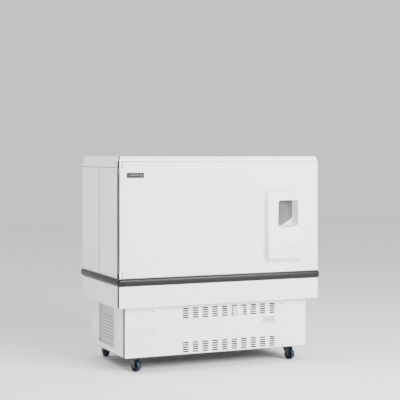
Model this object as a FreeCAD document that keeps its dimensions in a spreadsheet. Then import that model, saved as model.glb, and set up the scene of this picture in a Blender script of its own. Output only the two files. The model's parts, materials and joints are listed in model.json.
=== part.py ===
import FreeCAD, Part
import math
import os
import re

import Sketcher

# Refrigerated laboratory incubator on casters.
# +Z is up, +Y runs from the door to the back, +X to the right of someone facing the door.
# The origin is on the floor, under the centre of the whole object.

SIZES = {
    # outer box
    "width_body": 1200, "depth_body": 644, "height_total": 1168, "gauge": 1.5,
    "bumper_proud": 11, "handle_proud": 40,
    # levels, from the floor up
    "caster_height": 81, "base_height": 278, "plinth_height": 117, "bumper_height": 40,
    "cap_height": 27, "cap_bevel": 13.7, "rail_height": 32, "shadow_gap": 2,
    # cabinet walls and chamber
    "seam_depth": 333, "wall_side": 60, "wall_floor": 50, "wall_ceiling": 40, "wall_back": 60,
    "frame_depth": 4, "duct_depth": 80, "shelf_low": 170, "shelf_high": 350, "shelf_edge": 6,
    # door
    "skin_depth": 8, "seal_depth": 10, "plug_depth": 50, "plug_gap": 10,
    "hinge_inset": 9, "pin_radius": 4, "pin_length": 28, "running_gap": 0.05,
    "notch_width": 20, "notch_height": 32, "bush_height": 29.7,
    "seal_inset": 20, "seal_width": 14,
    # moulded handle and badge on the door
    "handle_left": 868, "handle_width": 225, "handle_top": 190, "handle_height": 407,
    "handle_shallow": 20, "mouth_left": 934, "mouth_width": 127, "mouth_top": 246,
    "mouth_height": 154, "mouth_round": 16, "cup_depth": 36, "cup_wall": 2.5,
    "badge_left": 42, "badge_width": 98, "badge_top": 87, "badge_height": 28,
    # base
    "base_side": 50, "base_front": 51, "base_back": 18, "return_front": 143, "return_back": 129,
    "slot_width": 34, "slot_height": 8, "slot_pitch": 12.4, "group_first": 386, "group_pitch": 59,
    "row_high": 859.5, "row_low": 1046.5, "recess": 14, "channel_size": 27, "channel_wall": 3,
    "trim_thick": 7, "trim_side": 26, "trim_proud": 0.8,
    # casters
    "wheel_radius": 31.5, "tread_width": 25, "rim_radius": 20, "hub_width": 28, "axle_radius": 4,
    "caster_trail": 22, "plate_size": 62, "plate_thick": 3, "fork_outer": 37, "fork_inner": 32,
    "kingpin_radius": 5, "caster_inset_x": 121, "caster_front": 117, "caster_rear": 588,
    # fans
    "fan_hub": 22, "fan_width": 24, "blade_thick": 2, "motor_radius": 20,
    # controls on the right side of the plinth
    "panel_proud": 8, "panel_front": 60, "panel_length": 190, "panel_low": 20, "panel_height": 76,
    "button_proud": 9.5, "button_depth": 5, "button_size": 12, "button_gap": 0.4,
    "rocker_length": 22, "rocker_width": 14, "rocker_depth": 6, "pivot_radius": 1.5,
}

doc = FreeCAD.newDocument("Incubator")
sheet = doc.addObject("Spreadsheet::Sheet", "Sheet")
for row, (alias, value) in enumerate(SIZES.items(), 1):
    sheet.set(f"A{row}", alias)
    sheet.set(f"B{row}", str(value))
    sheet.setAlias(f"B{row}", alias)
doc.recompute()

# Planes and levels that most pieces share, as formulas in the sheet's names.
LEFT = "(-width_body / 2)"
RIGHT = "(width_body / 2)"
FRONT = "(-(depth_body + bumper_proud - handle_proud) / 2)"
BACK = f"({FRONT} + depth_body)"
CAP_LOW = "(height_total - cap_height)"
RAIL_LOW = f"({CAP_LOW} - rail_height)"
BASE_LOW = "caster_height"
BASE_HIGH = "(caster_height + base_height)"
PLINTH_HIGH = f"({BASE_HIGH} + plinth_height)"
DECK_HIGH = f"({PLINTH_HIGH} + bumper_height)"
DOOR_LOW = f"({DECK_HIGH} + shadow_gap)"
DOOR_HIGH = f"({CAP_LOW} - shadow_gap)"
FACE = f"({FRONT} + skin_depth + seal_depth)"
LINER_X = "(width_body / 2 - wall_side)"
LINER_LOW = f"({DECK_HIGH} + wall_floor)"
LINER_HIGH = f"({CAP_LOW} - wall_ceiling)"
LINER_FRONT = f"({FACE} + frame_depth)"
LINER_BACK = f"({BACK} - wall_back)"
DUCT_FRONT = f"({LINER_BACK} - duct_depth)"
DUCT_X = f"({LINER_X} - 60)"
HINGE_X = f"({LEFT} + hinge_inset)"
HINGE_Y = f"({FRONT} + skin_depth)"
PLUG_X = f"({LINER_X} - plug_gap)"
PLUG_BACK = f"({FRONT} + skin_depth + plug_depth)"
BASE_X = "(width_body / 2 - base_side)"
BASE_FRONT = f"({FRONT} + base_front)"
BASE_BACK = f"({BACK} - base_back)"
PAN_HIGH = "(caster_height + plate_thick)"
FAN_Z = f"(({LINER_LOW} + {LINER_HIGH}) / 2)"

Vector = FreeCAD.Vector
Rotation = FreeCAD.Rotation
NAME = re.compile(r"[a-z][a-z_]+")
AXIS_TURN = {
    "x": Rotation(Vector(0, 1, 0), 90),
    "y": Rotation(Vector(1, 0, 0), -90),
    "z": Rotation(),
}
subparts = []
reader = doc.addObject("App::FeaturePython", "Reader")
reader.addProperty("App::PropertyFloat", "value")


def bound(formula):
    """A formula in the sheet's names, as FreeCAD's expression engine reads it."""
    return NAME.sub(lambda m: "Sheet." + m.group() if m.group() in SIZES else m.group(), str(formula))


def number(formula):
    """What a formula comes to with the sheet's values."""
    reader.setExpression("value", bound(formula))
    reader.recompute()
    return reader.value


def place(thing, x, y, z):
    for axis, formula in zip("xyz", (x, y, z)):
        thing.setExpression(f".Placement.Base.{axis}", bound(formula))
    return thing


def keep(label, thing):
    """Names a finished sub-part."""
    thing.Label = label
    subparts.append(thing)
    return thing


# Part primitives and booleans

def box(x, y, z):
    """A box from its (low, high) span along each axis."""
    thing = doc.addObject("Part::Box", "Box")
    for side, (low, high) in zip(("Length", "Width", "Height"), (x, y, z)):
        thing.setExpression(side, bound(f"({high}) - ({low})"))
    return place(thing, x[0], y[0], z[0])


def rod(axis, start, length, radius):
    thing = doc.addObject("Part::Cylinder", "Rod")
    thing.setExpression("Radius", bound(radius))
    thing.setExpression("Height", bound(length))
    thing.Placement = FreeCAD.Placement(Vector(), AXIS_TURN[axis])
    return place(thing, *start)


def group(*things):
    thing = doc.addObject("Part::Compound", "Group")
    thing.Links = list(things)
    return thing


def fuse(*things):
    thing = doc.addObject("Part::MultiFuse", "Fuse")
    thing.Shapes = list(things)
    return thing


def cut(base, *tools):
    thing = doc.addObject("Part::Cut", "Cut")
    thing.Base = base
    thing.Tool = tools[0] if len(tools) == 1 else fuse(*tools)
    return thing


# PartDesign bodies

def body_at(name, x=0, y=0, z=0, turn=0.0):
    thing = doc.addObject("PartDesign::Body", name)
    thing.Placement = FreeCAD.Placement(Vector(), Rotation(Vector(0, 0, 1), turn))
    return place(thing, x, y, z)


def sketch(body, plane, offset=0):
    """A sketch on one of the body's origin planes: XY looks down, XZ at the front, YZ at the side."""
    thing = body.newObject("Sketcher::SketchObject", body.Name + "Sketch")
    role = plane + "_Plane"
    thing.AttachmentSupport = [([o for o in body.Origin.OriginFeatures if o.Role == role][0], "")]
    thing.MapMode = "FlatFace"
    thing.setExpression(".AttachmentOffset.Base.z", bound(offset))
    return thing


def polygon(flat, points):
    """A closed outline whose corners are held by formulas for their two distances from the axes."""
    first = flat.GeometryCount
    places = [Vector(number(u), number(v), 0) for u, v in points]
    for index, start in enumerate(places):
        end = places[(index + 1) % len(places)]
        flat.addGeometry(Part.LineSegment(start, end), False)
    for index, (u, v) in enumerate(points):
        line = first + index
        following = first + (index + 1) % len(points)
        flat.addConstraint(Sketcher.Constraint("Coincident", line, 2, following, 1))
        for kind, formula, value in (("DistanceX", u, places[index].x), ("DistanceY", v,
                                                                         places[index].y)):
            row = flat.addConstraint(Sketcher.Constraint(kind, -1, 1, line, 1, value))
            flat.setExpression(f"Constraints[{row}]", bound(formula))


def rectangle(flat, u, v):
    polygon(flat, [(u[0], v[0]), (u[1], v[0]), (u[1], v[1]), (u[0], v[1])])


def circle(flat, u, v, radius):
    line = flat.GeometryCount
    shape = Part.Circle(Vector(number(u), number(v), 0), Vector(0, 0, 1), number(radius))
    flat.addGeometry(shape, False)
    for kind, formula in (("DistanceX", u), ("DistanceY", v)):
        row = flat.addConstraint(Sketcher.Constraint(kind, -1, 1, line, 3, number(formula)))
        flat.setExpression(f"Constraints[{row}]", bound(formula))
    row = flat.addConstraint(Sketcher.Constraint("Radius", line, number(radius)))
    flat.setExpression(f"Constraints[{row}]", bound(radius))


def pad(body, flat, length, middle=False, back=False, taper=None):
    """A pad along the sketch's normal, or against it with back."""
    thing = body.newObject("PartDesign::Pad", body.Name + "Pad")
    thing.Profile = flat
    thing.setExpression("Length", bound(length))
    thing.Midplane = middle
    thing.Reversed = back
    if taper:
        thing.setExpression("TaperAngle", bound(taper))
    doc.recompute()
    return thing


def pocket(body, flat, length, middle=False, forward=False, taper=None):
    """A pocket against the sketch's normal, or along it with forward. It has to remove something."""
    before = body.Shape.Volume
    thing = body.newObject("PartDesign::Pocket", body.Name + "Pocket")
    thing.Profile = flat
    thing.setExpression("Length", bound(length))
    thing.Midplane = middle
    thing.Reversed = forward
    if taper:
        thing.setExpression("TaperAngle", bound(taper))
    doc.recompute()
    if body.Shape.Volume > before - 0.1:
        raise RuntimeError(f"{body.Name}: a pocket removes nothing")
    return thing


def revolve(body, flat):
    """A full turn about the sketch's horizontal axis."""
    thing = body.newObject("PartDesign::Revolution", body.Name + "Turned")
    thing.Profile = flat
    thing.ReferenceAxis = (flat, ["H_Axis"])
    thing.Angle = 360
    doc.recompute()
    return thing


def repeat(body, feature, flat, axis, step, count):
    """A row of copies of a pocket along one axis of its sketch."""
    thing = body.newObject("PartDesign::LinearPattern", body.Name + "Row")
    thing.Originals = [feature]
    thing.Direction = (flat, [axis])
    thing.setExpression("Length", bound(f"{step} * {count - 1}"))
    thing.Occurrences = count
    body.Tip = thing
    doc.recompute()
    return thing


def round_edges(body, radius, wanted):
    """Rounds the edges of the body's shape that wanted(edge) picks."""
    base = body.Tip
    names = [f"Edge{index}" for index, edge in enumerate(base.Shape.Edges, 1) if wanted(edge)]
    thing = body.newObject("PartDesign::Fillet", body.Name + "Round")
    thing.Base = (base, names)
    thing.setExpression("Radius", bound(radius))
    doc.recompute()
    return thing


def runs_along(edge, axis):
    """True for a straight edge parallel to an axis."""
    span = [edge.BoundBox.XLength, edge.BoundBox.YLength, edge.BoundBox.ZLength]
    return span["xyz".index(axis)] > 0.01 and sum(span) - span["xyz".index(axis)] < 0.01


def mirrored(span):
    return (f"-({span[1]})", f"-({span[0]})")


def wide(half, less=0):
    """The span from -half to half, drawn in by less at each end."""
    return (f"-({half} - ({less}))", f"({half} - ({less}))")


# Cabinet shell

def top_cap():
    """Bevelled lid of folded sheet, hollow underneath."""
    body = body_at("TopCap", LEFT, FRONT, CAP_LOW)
    flat = sketch(body, "XY")
    rectangle(flat, ("0", "width_body"), ("0", "depth_body"))
    pad(body, flat, "cap_height", taper="-cap_bevel")
    hollow = sketch(body, "XY")
    rectangle(hollow, ("2 * gauge", "width_body - 2 * gauge"), ("2 * gauge", "depth_body - 2 * gauge"))
    pocket(body, hollow, "cap_height - gauge", forward=True, taper="-cap_bevel")
    keep("top_cap", body)


def top_rail():
    """Band of sheet under the lid, round the two sides and the back."""
    outer = box((LEFT, RIGHT), (FACE, BACK), (RAIL_LOW, CAP_LOW))
    inner = box(wide("width_body / 2", "gauge"), (f"{FACE} - 1", f"{BACK} - gauge"),
                (f"{RAIL_LOW} - 1", f"{CAP_LOW} + 1"))
    keep("top_rail", cut(outer, inner))


def side_panels():
    """Front halves of the two outer sides, up to a vertical seam."""
    depth = (FACE, f"{FRONT} + seam_depth - shadow_gap / 2")
    height = (DECK_HIGH, f"{RAIL_LOW} - shadow_gap / 2")
    left = (LEFT, f"{LEFT} + gauge")
    keep("side_panel_left", box(left, depth, height))
    keep("side_panel_right", box(mirrored(left), depth, height))


def rear_wrap():
    """One folded sheet: rear half of the left side, the back, and rear half of the right side."""
    height = (DECK_HIGH, f"{RAIL_LOW} - shadow_gap / 2")
    outer = box((LEFT, RIGHT), (f"{FRONT} + seam_depth", BACK), height)
    inner = box(wide("width_body / 2", "gauge"), (f"{FRONT} + seam_depth - 1", f"{BACK} - gauge"),
                (f"{DECK_HIGH} - 1", f"{RAIL_LOW} + 1"))
    keep("rear_wrap", cut(outer, inner))


def front_frame():
    """Black plastic breaker frame that the door seal closes on."""
    outer = box((LEFT, RIGHT), (FACE, LINER_FRONT), (DECK_HIGH, CAP_LOW))
    for_opening = box(wide(LINER_X), (f"{FACE} - 1", f"{LINER_FRONT} + 1"), (LINER_LOW, LINER_HIGH))
    for_skins = [
        box((f"{LEFT} - 1", f"{LEFT} + gauge"), (f"{FACE} - 1", f"{LINER_FRONT} + 1"),
            (f"{DECK_HIGH} - 1", f"{CAP_LOW} + 1")),
        box((f"{RIGHT} - gauge", f"{RIGHT} + 1"), (f"{FACE} - 1", f"{LINER_FRONT} + 1"),
            (f"{DECK_HIGH} - 1", f"{CAP_LOW} + 1")),
    ]
    keep("front_frame", cut(outer, for_opening, *for_skins))


def insulation():
    """Foam between the outer sheets and the chamber liner."""
    outer = box(wide("width_body / 2", "gauge"), (LINER_FRONT, f"{BACK} - gauge"),
                (DECK_HIGH, CAP_LOW))
    chamber = box(wide(LINER_X), (f"{LINER_FRONT} - 1", LINER_BACK), (LINER_LOW, LINER_HIGH))
    keep("insulation", cut(outer, chamber))


def inner_liner():
    """Stainless chamber, open at the front."""
    outer = box(wide(LINER_X), (LINER_FRONT, LINER_BACK), (LINER_LOW, LINER_HIGH))
    inner = box(wide(LINER_X, "gauge"), (f"{LINER_FRONT} - 1", f"{LINER_BACK} - gauge"),
                (f"{LINER_LOW} + gauge", f"{LINER_HIGH} - gauge"))
    keep("inner_liner", cut(outer, inner))


def cabinet_deck():
    """Folded tray that carries the insulated box and holds the bumper."""
    outer = box((LEFT, RIGHT), (FRONT, BACK), (PLINTH_HIGH, DECK_HIGH))
    inner = box(wide("width_body / 2", "2 * gauge"), (f"{FRONT} + 2 * gauge", f"{BACK} - 2 * gauge"),
                (f"{PLINTH_HIGH} - 1", f"{DECK_HIGH} - 2 * gauge"))
    keep("cabinet_deck", cut(outer, inner))


def bumper_rail():
    """Soft bumper round the deck, with a rounded nose and rounded corners."""
    body = body_at("Bumper", f"{LEFT} - bumper_proud", f"{FRONT} - bumper_proud", PLINTH_HIGH)
    flat = sketch(body, "XY")
    wide_x = "(width_body + 2 * bumper_proud)"
    wide_y = "(depth_body + 2 * bumper_proud)"
    rectangle(flat, ("0", wide_x), ("0", wide_y))
    pad(body, flat, "bumper_height")
    round_edges(body, "bumper_proud + 3", lambda edge: runs_along(edge, "z"))
    round_edges(body, "bumper_proud - 1", lambda edge: edge.BoundBox.ZLength < 0.01)
    hole = sketch(body, "XY")
    rectangle(hole, ("bumper_proud", f"{wide_x} - bumper_proud"),
              ("bumper_proud", f"{wide_y} - bumper_proud"))
    pocket(body, hole, "bumper_height", forward=True)
    keep("bumper_rail", body)


# Chamber fittings

SHELF_X = f"({LINER_X} - 18)"
SHELF_FRONT = f"({FRONT} + 76)"
SHELF_BACK = f"({DUCT_FRONT} - 14)"


def shelf_supports():
    """Four slotted uprights with a ledge under each shelf."""
    uprights = []
    for side in (-1, 1):
        wall = f"({side} * ({LINER_X} - gauge))"
        for depth in (f"({SHELF_FRONT} + 40)", f"({SHELF_BACK} - 60)"):
            inner = f"({side} * ({LINER_X} - gauge - 4))"
            ledge = f"({side} * ({LINER_X} - gauge - 30))"
            across = (wall, inner) if side < 0 else (inner, wall)
            strip = box(across, (depth, f"{depth} + 20"), (f"{LINER_LOW} + 20", f"{LINER_HIGH} - 20"))
            reach = (inner, ledge) if side < 0 else (ledge, inner)
            ledges = [
                box(reach, (depth, f"{depth} + 20"),
                    (f"{LINER_LOW} + {level} - 6", f"{LINER_LOW} + {level}"))
                for level in ("shelf_low", "shelf_high")
            ]
            uprights.append(fuse(strip, *ledges))
    keep("shelf_supports", group(*uprights))


def wire_shelf(label, level):
    """Lift-out shelf: a square-bar rim with round wires across it."""
    low = f"({LINER_LOW} + {level})"
    high = f"({low} + shelf_edge)"
    rim = [
        box(wide(SHELF_X), (SHELF_FRONT, f"{SHELF_FRONT} + shelf_edge"), (low, high)),
        box(wide(SHELF_X), (f"{SHELF_BACK} - shelf_edge", SHELF_BACK), (low, high)),
        box((f"-{SHELF_X}", f"-{SHELF_X} + shelf_edge"), (SHELF_FRONT, SHELF_BACK), (low, high)),
        box((f"{SHELF_X} - shelf_edge", SHELF_X), (SHELF_FRONT, SHELF_BACK), (low, high)),
        box(("-shelf_edge / 2", "shelf_edge / 2"), (SHELF_FRONT, SHELF_BACK), (low, high)),
    ]
    wires = 14
    for index in range(1, wires):
        along = f"({SHELF_FRONT} + ({SHELF_BACK} - {SHELF_FRONT}) * {index} / {wires})"
        start = (f"-{SHELF_X} + shelf_edge / 2", along, f"{high} - 2")
        rim.append(rod("x", start, f"2 * {SHELF_X} - shelf_edge", 2))
    keep(label, fuse(*rim))


def air_duct():
    """Cover in front of the cooler and heater, with a round fan inlet and side outlets."""
    outer = box(wide(DUCT_X), (DUCT_FRONT, f"{LINER_BACK} - gauge"),
                (f"{LINER_LOW} + 40", f"{LINER_HIGH} - 40"))
    inner = box(wide(DUCT_X, "gauge"), (f"{DUCT_FRONT} + gauge", LINER_BACK),
                (f"{LINER_LOW} + 40 + gauge", f"{LINER_HIGH} - 40 - gauge"))
    inlet = rod("y", ("0", f"{DUCT_FRONT} - 1", FAN_Z), "gauge + 2", 82)
    outlets = []
    for side in (-1, 1):
        for index in range(6):
            middle = f"({side} * (170 + {index} * 50))"
            outlets.append(box((f"{middle} - 8", f"{middle} + 8"),
                               (f"{DUCT_FRONT} - 1", f"{DUCT_FRONT} + gauge + 1"),
                               (f"{FAN_Z} - 150", f"{FAN_Z} + 150")))
    keep("air_duct", cut(outer, inner, inlet, *outlets))


def evaporator():
    """Finned cooler beside the fan, behind the duct cover."""
    fins = [
        box((f"-330 + {index} * 12", f"-330 + {index} * 12 + 6"),
            (f"{LINER_BACK} - 50", f"{LINER_BACK} - 12"), (f"{FAN_Z} - 140", f"{FAN_Z} + 140"))
        for index in range(18)
    ]
    tubes = [
        rod("x", ("-345", f"{LINER_BACK} - 31", f"{FAN_Z} - 100 + {index} * 50"), "240", 5)
        for index in range(5)
    ]
    keep("evaporator", fuse(*fins, *tubes))


def heater():
    """Ring heater element round the fan."""
    ring = doc.addObject("Part::Torus", "HeaterRing")
    ring.Radius1 = 92
    ring.Radius2 = 4
    ring.Placement = FreeCAD.Placement(Vector(), AXIS_TURN["y"])
    keep("heater", place(ring, "0", f"{DUCT_FRONT} + 40", FAN_Z))


COOLER_FAN = ("-70", f"({BASE_FRONT} + 120)", f"({BASE_LOW} + 115)")
CHAMBER_FAN = ("0", f"({DUCT_FRONT} + 20)", FAN_Z)


def fan(label, centre, radius):
    """Axial fan turning about Y: a hub with a bore and five pitched blades."""
    x, y, z = centre
    hub = rod("y", (x, y, z), "fan_width", "fan_hub")
    blades = []
    reach = radius - number("fan_hub") + 3
    for index in range(5):
        blade = doc.addObject("Part::Box", "Blade")
        blade.Length = reach
        blade.setExpression("Width", bound("blade_thick"))
        blade.setExpression("Height", bound("fan_width"))
        middle = Vector(number(x), number(f"{y} + fan_width / 2"), number(z))
        turn = Rotation(Vector(0, 1, 0), 72 * index).multiply(Rotation(Vector(1, 0, 0), 50))
        corner = Vector(number("fan_hub") - 3, -number("blade_thick") / 2, -number("fan_width") / 2)
        blade.Placement = FreeCAD.Placement(middle + turn.multVec(corner), turn)
        blades.append(blade)
    bore = rod("y", (x, f"{y} - 1", z), "fan_width + 2", "pin_radius + running_gap")
    keep(label, cut(fuse(hub, *blades), bore))


def fan_motors():
    """Two identical motors: a can with the shaft that a fan runs on, and a mounting foot."""
    motors = []
    for (x, y, z), foot in ((CHAMBER_FAN, ("y", 26)), (COOLER_FAN, ("z", 80))):
        start = f"({y} + fan_width + 2)"
        can = rod("y", (x, start, z), 26, "motor_radius")
        shaft = rod("y", (x, f"{y} + 2", z), "fan_width + 4", "pin_radius")
        if foot[0] == "y":
            leg = box((f"{x} - 15", f"{x} + 15"), (f"{start} + 20", f"{LINER_BACK} - gauge"),
                      (f"{z} - 15", f"{z} + 15"))
        else:
            leg = box((f"{x} - 12", f"{x} + 12"), (f"{start} + 4", f"{start} + 22"),
                      (PAN_HIGH, f"{z} - 10"))
        motors.append(fuse(can, shaft, leg))
    keep("fan_motors", group(*motors))


# Plinth

def plinth():
    """Front panel, and one folded sheet for the sides and back with an inward flange below."""
    height = (BASE_HIGH, f"{PLINTH_HIGH} - shadow_gap")
    keep("plinth_front", box((LEFT, RIGHT), (FRONT, f"{FRONT} + 2 * gauge"), height))
    start = f"({FRONT} + 2 * gauge + trim_side)"
    outer = box((LEFT, RIGHT), (start, BACK), height)
    inner = box(wide("width_body / 2", "gauge"), (f"{start} - 1", f"{BACK} - gauge"),
                (f"{BASE_HIGH} + gauge", PLINTH_HIGH))
    below = box(wide(BASE_X, 30), (f"{BASE_FRONT} + 30", f"{BASE_BACK} - 30"),
                (f"{BASE_HIGH} - 1", f"{BASE_HIGH} + gauge + 1"))
    keep("plinth_wrap", cut(outer, inner, below))


def corner_trim():
    """Black edge strips on the sides of the plinth and of the base cover, at their front corners."""
    strips = []
    for side in (-1, 1):
        outer = f"({side} * width_body / 2)"
        inner = f"({side} * (width_body / 2 - trim_thick))"
        across = (outer, inner) if side < 0 else (inner, outer)
        strips.append(box(across, (f"{FRONT} + 2 * gauge", f"{FRONT} + 2 * gauge + trim_side"),
                          (BASE_HIGH, f"{PLINTH_HIGH} - shadow_gap")))
        proud = f"({side} * ({BASE_X} + trim_proud))"
        face = f"({side} * {BASE_X})"
        across = (proud, face) if side < 0 else (face, proud)
        strips.append(box(across, (BASE_FRONT, f"{BASE_FRONT} + trim_side"), (PAN_HIGH, BASE_HIGH)))
    keep("corner_trim", group(*strips))


# Base

def channel(spans, length_axis, open_axis, side):
    """A folded channel: a bar hollowed along its length and open to one side."""
    hollow = []
    for axis, (low, high) in zip("xyz", spans):
        if axis == length_axis:
            hollow.append((f"{low} - 1", f"{high} + 1"))
        elif axis == open_axis:
            hollow.append((f"{low} + channel_wall", f"{high} + 1") if side > 0
                          else (f"{low} - 1", f"{high} - channel_wall"))
        else:
            hollow.append((f"{low} + channel_wall", f"{high} - channel_wall"))
    return cut(box(*spans), box(*hollow))


def base_frame():
    """Posts and rails of folded channel that carry the cabinet on the bottom pan."""
    bars = []
    posts = (f"({FRONT} + 205)", f"({FRONT} + 505)")
    for side in (-1, 1):
        outer = f"({side} * ({BASE_X} - gauge))"
        inner = f"({side} * ({BASE_X} - gauge - channel_size))"
        across = (outer, inner) if side < 0 else (inner, outer)
        for start in posts:
            spans = (across, (start, f"{start} + channel_size"), (f"{PAN_HIGH} + channel_size",
                                                                  f"{BASE_HIGH} - channel_size"))
            bars.append(channel(spans, "z", "x", -side))
        for low in (PAN_HIGH, f"({BASE_HIGH} - channel_size)"):
            spans = (across, (f"{BASE_FRONT} + 6", f"{BASE_BACK} - 6"), (low, f"{low} + channel_size"))
            bars.append(channel(spans, "y", "x", -side))
    for start in posts:
        spans = (wide(BASE_X, "gauge + channel_size"), (start, f"{start} + channel_size"),
                 (f"{BASE_HIGH} - channel_size", BASE_HIGH))
        bars.append(channel(spans, "x", "z", 1))
    keep("base_frame", group(*bars))


def front_cover():
    """Louvred cover of folded sheet with a return on each side."""
    body = body_at("FrontCover", f"-{BASE_X}", BASE_FRONT, PAN_HIGH)
    wide_x = f"(2 * {BASE_X})"
    tall = f"({BASE_HIGH} - {PAN_HIGH})"
    flat = sketch(body, "XY")
    polygon(flat, [("0", "0"), (wide_x, "0"), (wide_x, "return_front"),
                   (f"{wide_x} - gauge", "return_front"), (f"{wide_x} - gauge", "gauge"),
                   ("gauge", "gauge"), ("gauge", "return_front"), ("0", "return_front")])
    pad(body, flat, tall)
    slots = sketch(body, "XZ")
    for row in ("row_high", "row_low"):
        for index in range(-2, 3):
            middle = f"(height_total - {row} + {index} * slot_pitch - {PAN_HIGH})"
            rectangle(slots, ("group_first - base_side", "group_first - base_side + slot_width"),
                      (f"{middle} - slot_height / 2", f"{middle} + slot_height / 2"))
    feature = pocket(body, slots, "gauge + 1")
    repeat(body, feature, slots, "H_Axis", "group_pitch", 10)
    keep("front_cover", body)


def base_sides():
    """Recessed side panels of the base, with lanced air slots and a lip at top and bottom."""
    depth = (f"{FRONT} + 205 + channel_size", f"{FRONT} + 505")
    for label, side in (("base_side_left", -1), ("base_side_right", 1)):
        face = f"({side} * ({BASE_X} - recess))"
        rear = f"({side} * ({BASE_X} - recess - gauge))"
        edge = f"({side} * ({BASE_X} - gauge - 1))"
        sheet_x = (face, rear) if side < 0 else (rear, face)
        lip_x = (edge, face) if side < 0 else (face, edge)
        panel = box(sheet_x, depth, (f"{PAN_HIGH} + channel_size", f"{BASE_HIGH} - channel_size"))
        lips = [
            box(lip_x, depth, (f"{BASE_HIGH} - channel_size - 4", f"{BASE_HIGH} - channel_size")),
            box(lip_x, depth, (f"{PAN_HIGH} + channel_size", f"{PAN_HIGH} + channel_size + 4")),
        ]
        slots = []
        for index in range(8):
            low = f"({PAN_HIGH} + 62 + {index} * 18)"
            slots.append(box((f"{sheet_x[0]} - 1", f"{sheet_x[1]} + 1"),
                             (f"{depth[0]} + 30", f"{depth[1]} - 30"), (low, f"{low} + 3")))
        keep(label, cut(fuse(panel, *lips), *slots))


INLET_X = "(width_body / 2 - 130)"
INLET_Z = f"({BASE_LOW} + 30)"


def base_back():
    """Rear cover of the base with returns on each side and a field of air slots."""
    body = body_at("BaseBack", f"-{BASE_X}", f"{BASE_BACK} - return_back", PAN_HIGH)
    wide_x = f"(2 * {BASE_X})"
    flat = sketch(body, "XY")
    polygon(flat, [("0", "0"), ("gauge", "0"), ("gauge", "return_back - gauge"),
                   (f"{wide_x} - gauge", "return_back - gauge"), (f"{wide_x} - gauge", "0"),
                   (wide_x, "0"), (wide_x, "return_back"), ("0", "return_back")])
    pad(body, flat, f"{BASE_HIGH} - {PAN_HIGH}")
    slots = sketch(body, "XZ", "-(return_back + 1)")
    for index in range(12):
        low = f"(50 + {index} * 15)"
        rectangle(slots, ("150", "150 + 2 * slot_width"), (low, f"{low} + slot_height"))
    feature = pocket(body, slots, "gauge + 2", forward=True)
    repeat(body, feature, slots, "H_Axis", "90", 9)
    hole = sketch(body, "XZ", "-(return_back + 1)")
    rectangle(hole, (f"{INLET_X} + {BASE_X} - 15", f"{INLET_X} + {BASE_X} + 15"),
              (f"{INLET_Z} - {PAN_HIGH} - 11", f"{INLET_Z} - {PAN_HIGH} + 11"))
    pocket(body, hole, "gauge + 2", forward=True)
    keep("base_back", body)


CASTERS = [
    ("front_left", "(-width_body / 2 + caster_inset_x)", f"({FRONT} + caster_front)", -66.0),
    ("front_right", "(width_body / 2 - caster_inset_x - 18)", f"({FRONT} + caster_front)", -66.0),
    ("rear_left", "(-width_body / 2 + caster_inset_x + 12)", f"({FRONT} + caster_rear)", 98.0),
    ("rear_right", "(width_body / 2 - caster_inset_x - 6)", f"({FRONT} + caster_rear)", 98.0),
]


def base_pan():
    """Bottom plate with the bolt holes of the casters."""
    plate = box(wide(BASE_X, "gauge"), (f"{BASE_FRONT} + gauge", f"{BASE_BACK} - gauge"),
                (BASE_LOW, PAN_HIGH))
    holes = []
    for _, x, y, _ in CASTERS:
        for across in (-22, 22):
            for along in (-22, 22):
                start = (f"{x} + {across}", f"{y} + {along}", f"{BASE_LOW} - 1")
                holes.append(rod("z", start, "plate_thick + 2", 3.3))
    keep("base_pan", cut(plate, *holes))


def compressor():
    """Hermetic compressor: a domed steel shell on a foot plate."""
    body = body_at("Compressor", "-380", f"{BASE_FRONT} + 330", PAN_HIGH)
    foot = sketch(body, "XY")
    rectangle(foot, ("-110", "110"), ("-80", "80"))
    pad(body, foot, 14)
    shell = sketch(body, "XY")
    circle(shell, "0", "0", 88)
    pad(body, shell, 175)
    round_edges(body, 60, lambda edge: edge.Length > 400 and edge.CenterOfMass.z > 170)
    keep("compressor", body)


def condenser():
    """Finned coil with end plates behind the front louvres."""
    height = (PAN_HIGH, f"{PAN_HIGH} + 210")
    depth = (f"{BASE_FRONT} + 60", f"{BASE_FRONT} + 104")
    ends = [box((x, f"{x} + 3"), depth, height) for x in ("-210", "67")]
    fins = [
        box((f"-200 + {index} * 9", f"-200 + {index} * 9 + 4"),
            (f"{depth[0]} + 4", f"{depth[1]} - 4"), (f"{PAN_HIGH} + 8", f"{PAN_HIGH} + 204"))
        for index in range(30)
    ]
    tubes = [
        rod("x", ("-220", f"{BASE_FRONT} + 82", f"{PAN_HIGH} + 25 + {index} * 32"), "300", 5)
        for index in range(6)
    ]
    keep("condenser", fuse(*ends, *fins, *tubes))


def pipe_run(points, radius):
    """Copper pipe: straight lengths along the axes with a ball at each bend."""
    things = []
    for start, end in zip(points, points[1:]):
        low = [number(value) for value in start]
        high = [number(value) for value in end]
        axis = max(range(3), key=lambda i: abs(high[i] - low[i]))
        begin, finish = (start, end) if high[axis] > low[axis] else (end, start)
        things.append(rod("xyz"[axis], begin, f"({finish[axis]}) - ({begin[axis]})", radius))
    for corner in points[1:-1]:
        ball = doc.addObject("Part::Sphere", "Bend")
        ball.Radius = radius
        things.append(place(ball, *corner))
    return fuse(*things)


def refrigerant_pipes():
    """Discharge pipe to the condenser, and the suction pipe up into the plinth."""
    shell_y = f"({BASE_FRONT} + 330)"
    discharge = pipe_run([("-291", shell_y, "190"), ("-260", shell_y, "190"),
                          ("-260", f"{BASE_FRONT} + 82", "190"), ("-220", f"{BASE_FRONT} + 82",
                                                                  "190")], 5)
    suction = pipe_run([("-291", shell_y, "150"), ("-240", shell_y, "150"),
                        ("-240", shell_y, "410"), ("-240", f"{BACK} - 40", "410"),
                        ("-240", f"{BACK} - 40", f"{PLINTH_HIGH} - 4")], 6)
    keep("refrigerant_pipes", group(discharge, suction))


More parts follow.
